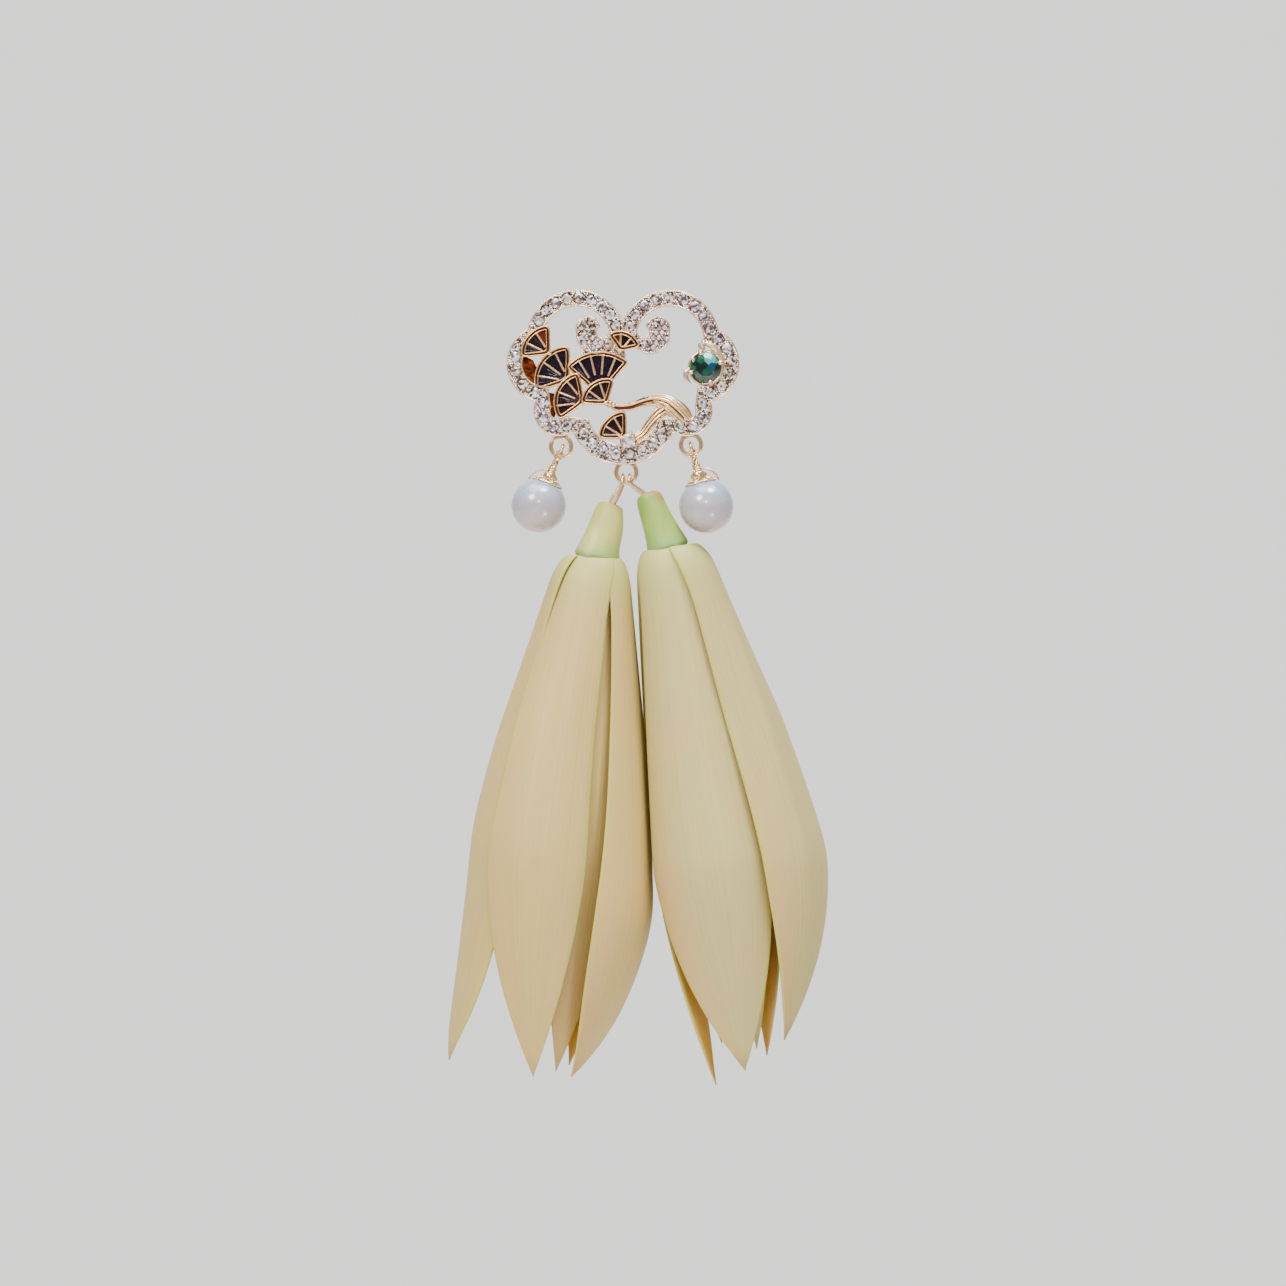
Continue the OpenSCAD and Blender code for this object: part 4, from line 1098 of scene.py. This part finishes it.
class BROOCH_OT_fans(bpy.types.Operator):
    """Lays the two raised wires and the ribs of the seven fans, and fires their enamel"""
    bl_idname = "brooch.fans"
    bl_label = "Fans"

    def execute(self, context):
        s = context.scene.brooch_lock
        stones = context.scene.brooch_stones
        half = s.fan_wire / MM / 2
        bm, groove_shade = bmesh.new(), bmesh.new()
        for name, fan in FANS.items():
            y = fan_y(fan.level)
            cut = CORNER_CUTS.get(name, CORNER_CUT)
            over = [other for other in FANS.values() if other.level > fan.level]

            def hidden(p):
                return in_fans(p, 0.04, over)

            lay_edge(bm, fan_edge(fan, half - 0.06, cut), y - 0.03, half + 0.02, 0.17, hidden)
            lay_edge(bm, fan_edge(fan, WALL_W - half + 0.04, cut), y, half, 0.15, hidden)
            # painted shade: a dark strip of groove gold laid between the two wires of each fan
            lay_edge(groove_shade, fan_edge(fan, WALL_W / 2, cut), y + 0.02, 0.1, 0.07, hidden)
            for i in range(1, fan.ribs + 1):
                a = fan.first + (fan.last - fan.first) * i / (fan.ribs + 1)
                foot, top = polar(fan, fan.rib_start * fan.r, a), polar(fan, fan.r - RIB_GAP, a)
                path = [foot.lerp(top, k / 8) for k in range(9)]
                path = [flat_to_lock(p, y + 0.05) for p in path if not hidden(p)]
                wide = [RIB_FOOT + RIB_GAIN * k / 8 for k in range(9 - len(path), 9)]
                if len(path) > 2:
                    lay_wire(bm, path, wide, RIB_DEEP, sides=8)
            glass = stones.blue_enamel if name in BLUE_FANS else stones.plum_enamel
            dress(name + "_enamel", enamel_finish(name + "_glass", glass, fan, WARM_CELLS.get(name)))
        for x, z, level in SOLDER_GRAINS:
            add_bead(bm, (x, fan_y(level), z), 0.24, 0.6)
        make_piece("fan_wires", bm, "lock", "gold", gold("warm_gold"))
        make_piece("fan_grooves", groove_shade, "lock", "gold", gold("groove_gold"))
        return {"FINISHED"}


class BROOCH_OT_branch(bpy.types.Operator):
    """Casts the branch and its fork, with the strands laid along them and the knot at the branch's end"""
    bl_idname = "brooch.branch"
    bl_label = "Branch"

    def execute(self, context):
        core, bm = bmesh.new(), bmesh.new()
        for stations, strands in ((BRANCH, BRANCH_STRANDS), (FORK, FORK_STRANDS)):
            rows = through_curve(stations, 7)
            path = [flat_to_lock(r, BRANCH_Y) for r in rows]
            lay_wire(core, path, [r[2] for r in rows], [r[3] for r in rows], sides=20)
            last = len(rows) - 1
            for start, at in strands:
                strand, wide = [], []
                for i, row in enumerate(rows):
                    t = i / last
                    if t < start or t > 0.99:
                        continue
                    run = (rows[min(i + 1, last)] - rows[max(i - 1, 0)]).xy.normalized()
                    a = radians(at + 30 * (t - 0.6))
                    strand.append(path[i] + Vector((-run[1], 0, run[0])) * row[2] * 0.9 * cos(a)
                                  + TO_VIEWER * row[3] * 0.9 * sin(a))
                    wide.append(0.06 + 0.14 * row[2] * min(1, (t - start) * 6))
                lay_wire(bm, strand, wide, sides=10)
        for p, r in BRANCH_BEADS:
            add_bead(bm, p, r, detail=3)
        # painted shade: the core under the strands is given the dark groove gold, which shows between them
        make_piece("branch_core", core, "lock", "gold", gold("groove_gold"))
        make_piece("branch", bm, "lock", "gold", gold("warm_gold"))
        return {"FINISHED"}


class BROOCH_OT_stones(bpy.types.Operator):
    """Cuts the clear stones, the green stone and the single white stone, with their claws"""
    bl_idname = "brooch.stones"
    bl_label = "Stones and claws"

    def execute(self, context):
        clear = clear_stone_finish()
        for name, places, node in (("band_row", band_places(), "band_stones"),
                                   ("scroll_rows", scroll_places(), "scroll_stones")):
            bm = bmesh.new()
            for at, d in places:
                add_gem(bm, at, STONE_Y, d, 8)
            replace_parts(make_piece(name, bm, "lock", "clear_stone", clear, smooth=False), node)
        for name, stone, slot, finish in (
                ("green_gem", GREEN_STONE, "green_stone", green_stone_finish()),
                ("white_gem", WHITE_STONE, "clear_stone",
                 clear_stone_finish("white_stone", (0.78, 0.72, 0.86), (0.42, 0.34, 0.46)))):
            bm = bmesh.new()
            add_gem(bm, stone[:2], stone.girdle, stone.d, stone.sides)
            piece = make_piece(name, bm, "lock", slot, finish, smooth=False)
            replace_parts(piece, name.replace("gem", "stone"))
        bm = bmesh.new()
        for stone in (GREEN_STONE, WHITE_STONE):
            for a in stone.prongs:
                foot = polar(stone, stone.d / 2 + stone.prong_r + 0.04, a)
                over = polar(stone, stone.d / 2 - 0.12, a)
                path = [flat_to_lock(foot.lerp(over, t), stone.girdle + behind) for t, behind in PRONG]
                lay_wire(bm, softened(path, 1), stone.prong_r + 0.03, up=UP, sides=12)
        self.leaf_claws(bm)
        make_piece("claws", bm, "lock", "gold", gold("polished_gold"))
        return {"FINISHED"}

    def leaf_claws(self, bm):
        """The green stone's leaf-shaped claws, the arm from the band that carries it and its two bezels"""
        girdle = GREEN_STONE.girdle
        for deep, stations in LEAF_CLAWS:
            rows = through_curve(stations, 5)
            lay_wire(bm, [flat_to_lock(r, girdle - 0.1) for r in rows], [r[2] for r in rows], deep, sides=12)
        arm = through_curve(STONE_ARM)
        lay_wire(bm, [flat_to_lock(r, FRONT_Y + 0.25) for r in arm], [r[2] for r in arm], 0.3, sides=14)
        for first, last, behind, half, gap in BEZELS:
            arc = [polar(GREEN_STONE, GREEN_STONE.d / 2 + gap, first + (last - first) * k / 48)
                   for k in range(48)]
            lay_wire(bm, [flat_to_lock(p, girdle + behind) for p in arc], half, closed=last == 360)


class BROOCH_OT_eyelets(bpy.types.Operator):
    """Turns the three grooved eyelets"""
    bl_idname = "brooch.eyelets"
    bl_label = "Eyelets"

    def execute(self, context):
        bm = bmesh.new()
        for x, z in EYELETS.values():
            for r in (EYELET_R - 0.16, EYELET_R + 0.16):
                path = [flat_to_lock(polar((x, z), r, a * 7.5)) for a in range(48)]
                lay_wire(bm, path, 0.075, 0.28, closed=True)
        make_piece("eyelet_edges", bm, "lock", "gold", gold("polished_gold"))
        return {"FINISHED"}


class BROOCH_OT_pin(bpy.types.Operator):
    """Makes the hidden pin: a bar soldered behind the scrolls, its two posts and the wire between them"""
    bl_idname = "brooch.pin"
    bl_label = "Pin"

    def execute(self, context):
        bm = bmesh.new()
        for corners in PIN_BLOCKS:
            low, high = (Vector(corner) for corner in corners)
            part = bmesh.new()
            bmesh.ops.create_cube(part, size=1)
            bmesh.ops.scale(part, vec=high - low, verts=part.verts)
            bmesh.ops.translate(part, vec=(low + high) / 2, verts=part.verts)
            bmesh.ops.bevel(part, geom=part.edges[:], offset=0.12, segments=3, profile=0.5, affect="EDGES",
                            material=-1)
            add_part(bm, part)
        lay_wire(bm, [(PIN_REACH * (i / 6 - 1), 0, 0) for i in range(13)], PIN_R, up=UP, sides=20)
        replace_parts(make_piece("pin", bm, "lock", "pin_gold", gold("wire_gold")), "pin_back")
        return {"FINISHED"}


def drop_place(drop):
    """The frame of a drop: its origin at the wrap, its Z axis towards the pearl"""
    wrap, pearl = Vector(drop.wrap), Vector(drop.pearl)
    turn = atan2(pearl[0] - wrap[0], pearl[1] - wrap[1])
    return Matrix.Translation(flat_to_lock(wrap)) @ Matrix.Rotation(turn, 4, "Y"), (pearl - wrap).length


class BROOCH_OT_drops(bpy.types.Operator):
    """Makes the two pearl drops: the pearl, its pierced cap and the twisted wire"""
    bl_idname = "brooch.drops"
    bl_label = "Pearl drops"

    def execute(self, context):
        twist = context.scene.brooch_drops.twist
        metal = gold("wire_gold")
        for side, drop in DROPS.items():
            nacre = pearl_finish(side + "_pearl_nacre", drop.pearl[1])
            place, reach = drop_place(drop)
            bm = bmesh.new()
            bmesh.ops.create_icosphere(bm, subdivisions=5, radius=PEARL_R - 0.01)
            for v in bm.verts:
                v.co *= 1 - 0.004 * (1 + sin(v.co.x * 1.3 + 0.7) * cos(v.co.z * 1.1) * sin(v.co.y + 1.9))
            bmesh.ops.translate(bm, vec=(0, 0, reach), verts=bm.verts)
            bmesh.ops.transform(bm, matrix=place, verts=bm.verts)
            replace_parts(make_piece(side + "_nacre", bm, "lock", "pearl", nacre), side + "_pearl")
            bm = bmesh.new()

            def on_pearl(r, a, lift=0.06):
                """A point on the pearl's shoulder, so far from the axis and lifted off the nacre"""
                ball = PEARL_R + lift
                return place @ Vector((r * cos(a), r * sin(a), reach - sqrt(ball * ball - r * r)))

            outward = place.to_3x3() @ Vector((0, 0, -1))
            for a in around(CAP_LEAVES):
                leaf = [on_pearl(0.78 + 0.5 * cos(t), a + 0.3 * sin(t) / (0.8 + 0.4 * cos(t)), 0.1)
                        for t in around(20)]
                lay_wire(bm, leaf, 0.085, 0.1, up=outward, closed=True, sides=8)
                rib = [on_pearl(0.3 + 0.9 * k / 5, a, 0.1) for k in range(6)]
                lay_wire(bm, rib, 0.07, 0.08, up=outward, sides=8)
            rim = [on_pearl(CAP_R - 0.08 + SCALLOP * cos(CAP_LEAVES * t), t, 0.08) for t in around(60)]
            lay_wire(bm, rim, 0.07, 0.09, up=outward, closed=True, sides=8)
            for t in around(CAP_BEADS):
                add_bead(bm, on_pearl(CAP_R + SCALLOP * cos(CAP_LEAVES * t), t), 0.095)
            low = reach - 2.62
            collar = turned(((0.26, 0.42), (0.5, 0.42), (0.62, 0.56), (0.75, low), (0.3, low)))
            bmesh.ops.transform(collar, matrix=place, verts=collar.verts)
            add_part(bm, collar)
            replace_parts(make_piece(side + "_filigree", bm, "lock", "gold_wire", metal), side + "_pearl_cap")
            bm = bmesh.new()
            self.strands(bm, drop, place, reach, twist)
            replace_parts(make_piece(side + "_strands", bm, "lock", "gold_wire", metal), side + "_pearl_wire")
        return {"FINISHED"}

    def strands(self, bm, drop, place, reach, twist):
        """A hairpin of wire through the eyelet, twisted on itself, its ends splayed over the cap"""
        loop, wrap = flat_to_lock(drop.loop), flat_to_lock(drop.wrap)
        down = (wrap - loop).normalized()
        side = down.cross(TO_VIEWER).normalized()
        length = (wrap - loop).length
        legs = []
        for way in (1, -1):
            leg = []
            for k in range(25):
                t = k / 24
                turn = twist * t * t * (3 - 2 * t)
                apart = LOOP_R + (STRAND_GAP - LOOP_R) * min(1, t * 1.6) ** 0.8
                leg.append(loop + down * length * t
                           + way * apart * (TO_VIEWER * cos(turn) + side * sin(turn)))
            for k in range(1, 6):
                spread = STRAND_GAP + 0.6 * (k / 5) ** 2
                leg.append(place @ Vector((way * drop.tail_side * spread * 0.9, 0.15 * way, 0.9 * k / 5)))
            legs.append(leg)
        bend = [loop + LOOP_R * (TO_VIEWER * cos(t) - down * sin(t))
                for t in (pi * k / 12 for k in range(1, 12))]
        path = legs[0][::-1] + bend + legs[1]
        lay_wire(bm, softened(path, 3), STRAND_R, up=TO_RIGHT, sides=12)
        for i in range(WRAP_TURNS):
            ring = [place @ Vector((WRAP_R * cos(t), WRAP_R * sin(t), WRAP_PITCH * (i + k / 24) - 0.3))
                    for k, t in enumerate(around(24))]
            lay_wire(bm, ring, 0.12, up=down, sides=10)
        x, z = TAIL_MIDDLE
        tail = [place @ Vector((drop.tail_side * (x + TAIL_R * cos(a)), 0, z + TAIL_R * sin(a)))
                for a in (radians(-88 + 84 * k / 24) for k in range(25))]
        lay_wire(bm, tail, 0.085, sides=8)


class BROOCH_OT_hooks(bpy.types.Operator):
    """Bends the two wire hooks that hang the flowers on the central eyelet"""
    bl_idname = "brooch.hooks"
    bl_label = "Hooks"

    def execute(self, context):
        metal = gold("wire_gold")
        for side, flower in FLOWERS.items():
            x = flower.hook_x
            knee = Vector((x, HOOK_Z - HOOK_DROP))
            run = Vector(flower.top) - knee
            end = knee + run * (1 + HOOK_HELD / run.length)
            bend = [Vector((x - HOOK_CLOSE * cos(t), MID_Y - HOOK_R * cos(t), HOOK_Z + HOOK_R * sin(t)))
                    for t in (pi * k / 16 for k in range(17))]
            legs = [[flat_to_lock(knee.lerp(end, k / 12), MID_Y + way * HOOK_R)
                     + TO_RIGHT * way * (HOOK_CLOSE + HOOK_APART * min(1, k / 4))
                     for k in range(13)] for way in (-1, 1)]
            path = legs[0][::-1] + bend + legs[1]
            bm = bmesh.new()
            lay_wire(bm, softened(path, 1), WIRE_R - 0.03, up=TO_RIGHT, sides=14)
            piece = make_piece(side + "_hook_wire", bm, side + "_flower", "gold_wire", metal)
            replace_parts(piece, side + "_hook")
        return {"FINISHED"}


def bud_place(flower):
    """The frame of a bud: it hangs down from the foot of its stalk"""
    foot = flat_to_lock(flower.foot, MID_Y + flower.back)
    return Matrix.Translation(foot) @ Matrix.Rotation(radians(flower.lean), 4, "Y")


class BROOCH_OT_stalks(bpy.types.Operator):
    """Grows the two cut stalks, flared towards their buds"""
    bl_idname = "brooch.stalks"
    bl_label = "Stalks"

    def execute(self, context):
        s = context.scene.brooch_flowers
        for side, flower in FLOWERS.items():
            top, foot = Vector(flower.top), Vector(flower.foot)
            length = (foot - top).length
            flare = flower.foot_r - STEM_TOP_R
            turn = atan2(foot[0] - top[0], foot[1] - top[1])
            place = Matrix.Translation(flat_to_lock(top)) @ Matrix.Rotation(turn, 4, "Y")
            rise, round_off, shares = STALKS[side]
            r = STEM_TOP_R
            part = turned((
                (0, 0.1 - rise), (0.5, 0.08 - rise), (r - 0.2 - round_off / 2, -rise),
                (r - 0.05, round_off * 0.4 - rise), (r + 0.06, round_off - rise + 0.1),
                (r + 0.1 + 0.06 * flare, 0.2 * length), (r + 0.06 + 0.25 * flare, 0.45 * length),
                (r + 0.62 * flare, 0.8 * length), (r + flare, length), (r + flare, 1.12 * length),
                (0, 1.12 * length)), 32)
            for v in part.verts:
                a = atan2(v.co.y, v.co.x)
                swell = 1 + 0.025 * sin(3 * a + v.co.z) - 0.02
                v.co.x *= swell
                v.co.y *= swell
                if v.co.x < 0 and side == "left":
                    v.co.x -= 0.5 * max(0, 1 - abs(v.co.z - 1.9) / 1.8)
                if v.co.z < 0.3:
                    v.co.z += 0.1 * sin(2 * a + 1)
            bmesh.ops.transform(part, matrix=place, verts=part.verts)
            cut = bud_place(flower)
            bmesh.ops.bisect_plane(
                part, geom=part.verts[:] + part.edges[:] + part.faces[:], dist=0.0001, clear_outer=True,
                plane_co=cut @ Vector((0, 0, -0.45)), plane_no=cut.to_3x3() @ Vector((0, 0, -1)))
            bmesh.ops.holes_fill(part, edges=[e for e in part.edges if e.is_boundary], sides=0)
            bm = bmesh.new()
            add_part(bm, part)
            green = shaded(s.stalk, *shares)
            skin = stalk_finish(side + "_stalk_skin", green, (top[0], top[1] + rise - 0.3), foot)
            piece = make_piece(side + "_stalk", bm, side + "_flower", "stem", skin)
            softly(piece)
            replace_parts(piece, side + "_stem")
        return {"FINISHED"}


def petal_point(p, s, v):
    """A point of a petal's outer face in its bud: s runs from root to tip, v across from -1 to 1"""
    place, turn, length, root, belly, tip, belly_at, full, cup, root_span, mid_span, span, taper = p
    before = min(1, s / belly_at)
    past = max(0, (s - belly_at) / (1 - belly_at))
    swell = shoulder(s) * (root + (belly - root) * (1 - (1 - before) ** full))
    out = swell + (tip - belly) * past ** 1.7
    wide = (root_span + (4 * mid_span - 3 * root_span - span) * before
            + (2 * root_span - 4 * mid_span + 2 * span) * before ** 2) * max(1 - past ** taper, 0.012)
    wide *= 1 + 0.3 * (1 - min(1, s / 0.14)) ** 2
    facing = radians(place + turn * min(1, s / 0.35))
    r = cup * swell
    a = facing + radians(wide * v)
    place = radians(place)
    return Vector((out * sin(place) - r * sin(facing) + r * sin(a),
                   -out * cos(place) + r * cos(facing) - r * cos(a), -PETAL_GAP - s * (length - PETAL_GAP)))


def shoulder(s):
    return 1 - 0.3 * (1 - sqrt(max(0, 1 - (1 - min(1, s / 0.055)) ** 2)))


class BROOCH_OT_petals(bpy.types.Operator):
    """Grows the ten petals of each bud as thin curved skins"""
    bl_idname = "brooch.petals"
    bl_label = "Petals"

    def execute(self, context):
        s = context.scene.brooch_flowers
        for side, petals in PETALS.items():
            outer = shaded(s.ivory, *PETAL_SHARES[side])
            # The inner faces get the darker ochre skin: painted shade inside the bud
            skins = (petal_finish(side + "_petal_skin", outer, (0.55, 0.5, 0.15)),
                     petal_finish(side + "_petal_inside", s.inside, (0.52, 0.42, 0.14)))
            for name, p in petals.items():
                grid = INNER_GRID if name.startswith(("inner", "core")) else OUTER_GRID
                piece = self.petal(f"{side}_{name}_skin", side, p, grid, KEELS.get((side, name)), skins)
                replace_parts(piece, f"{side}_petal_{name}")
        return {"FINISHED"}

    def petal(self, name, side, p, grid, keel, skins):
        """One petal: a flat grid bent to its shape and folded, thinner towards its edges and its tip"""
        place = bud_place(FLOWERS[side])
        bm = bmesh.new()
        uv = bm.loops.layers.uv.new("petal")
        bmesh.ops.create_grid(bm, x_segments=grid[0], y_segments=grid[1], size=1, calc_uvs=True)
        weights = []
        for v in bm.verts:
            across, s = v.co.x, (1 - cos(pi * (v.co.y + 1) / 2)) / 2
            for loop in v.link_loops:
                loop[uv].uv = ((across + 1) / 2, s)
            weights.append(shoulder(s) * (1 - 0.45 * abs(across) ** 3) * min(1, 0.25 + (1 - s) * 9))
            point = petal_point(p, s, across)
            if keel:
                at, begins, height = keel
                rise = max(0, 1 - abs(across - at) / 0.34) * max(0, min(1, (s - begins) / 0.25)) * (1 - s)
                point += (point - Vector((0, 0, point[2]))).normalized() * height * rise
            v.co = place @ point
        bmesh.ops.reverse_faces(bm, faces=bm.faces[:])
        piece = make_piece(name, bm, side + "_flower", "petal", *skins)
        thick = piece.vertex_groups.new(name="thickness")
        for i, weight in enumerate(weights):
            thick.add([i], weight, "REPLACE")
        wall = piece.modifiers.new("thickness", "SOLIDIFY")
        wall.thickness = PETAL_T * MM
        wall.offset = -1
        wall.vertex_group = "thickness"
        wall.material_offset = 1
        softly(piece)
        return piece


class BROOCH_OT_stage(bpy.types.Operator):
    """Sets the plain pale sweep, the soft lights and the camera"""
    bl_idname = "brooch.stage"
    bl_label = "Stage"

    def execute(self, context):
        s = context.scene.brooch_stage
        bm = bmesh.new()
        edges = [bm.edges.new([bm.verts.new(corner) for corner in SWEEP_EDGE])]
        for step in SWEEP_STEPS:
            moved, edges = extruded(bm, edges)
            bmesh.ops.translate(bm, vec=step, verts=moved)
        bmesh.ops.recalc_face_normals(bm, faces=bm.faces)
        for face in bm.faces:
            face.smooth = True
        mesh = bpy.data.meshes.new("sweep")
        bm.to_mesh(mesh)
        bm.free()
        mesh.materials.append(pale_finish())
        sweep = bpy.data.objects.new("sweep", mesh)
        context.scene.collection.objects.link(sweep)
        for name, (place, aim, size, share) in LIGHTS.items():
            lamp = bpy.data.lights.new(name, "AREA")
            lamp.shape = "DISK"
            lamp.size = size
            lamp.energy = s.key * share
            light = bpy.data.objects.new(name, lamp)
            light.location = place
            light.rotation_euler = (Vector(aim) - Vector(place)).to_track_quat("-Z", "Y").to_euler()
            context.scene.collection.objects.link(light)
        world = bpy.data.worlds.new("soft_room")
        world.use_nodes = True
        world.node_tree.nodes["Background"].inputs["Color"].default_value = (0.8, 0.82, 0.86, 1)
        world.node_tree.nodes["Background"].inputs["Strength"].default_value = 0.35
        context.scene.world = world
        context.scene.view_settings.look = "AgX - Medium High Contrast"
        lens = bpy.data.cameras.new("view")
        lens.sensor_width = 36
        lens.lens = lens.sensor_width * CAMERA_REACH / (PHOTO_WIDTH * MM)
        lens.clip_start, lens.clip_end = 0.02, 20
        camera = bpy.data.objects.new("view", lens)
        camera.location = (PHOTO_CENTRE[0] * MM, MID_Y * MM - CAMERA_REACH, PHOTO_CENTRE[1] * MM)
        camera.rotation_euler = (pi / 2, 0, 0)
        context.scene.collection.objects.link(camera)
        context.scene.camera = camera
        return {"FINISHED"}


class BROOCH_PT_pieces(bpy.types.Panel):
    """The brooch's pieces, in the order in which they are made"""
    bl_label = "Cloud lock brooch"
    bl_space_type = "VIEW_3D"
    bl_region_type = "UI"
    bl_category = "Brooch"

    def draw(self, context):
        for name, group in SETTINGS.items():
            for key in group.__annotations__:
                self.layout.prop(getattr(context.scene, name), key)
        for piece in PIECES:
            self.layout.operator(piece.bl_idname)


SETTINGS = {
    "brooch_lock": LockSettings,
    "brooch_stones": StoneSettings,
    "brooch_drops": DropSettings,
    "brooch_flowers": FlowerSettings,
    "brooch_stage": StageSettings,
}
PIECES = (
    BROOCH_OT_stage, BROOCH_OT_band, BROOCH_OT_fans, BROOCH_OT_branch, BROOCH_OT_stones, BROOCH_OT_eyelets,
    BROOCH_OT_pin, BROOCH_OT_drops, BROOCH_OT_hooks, BROOCH_OT_stalks, BROOCH_OT_petals,
)


def register():
    for kind in (*SETTINGS.values(), *PIECES, BROOCH_PT_pieces):
        bpy.utils.register_class(kind)
    for name, group in SETTINGS.items():
        setattr(bpy.types.Scene, name, bpy.props.PointerProperty(type=group))


def unregister():
    for name in SETTINGS:
        delattr(bpy.types.Scene, name)
    for kind in reversed((*SETTINGS.values(), *PIECES, BROOCH_PT_pieces)):
        bpy.utils.unregister_class(kind)


def main():
    register()
    for piece in PIECES:
        group, action = piece.bl_idname.split(".")
        getattr(getattr(bpy.ops, group), action)()


if __name__ == "__main__":
    main()
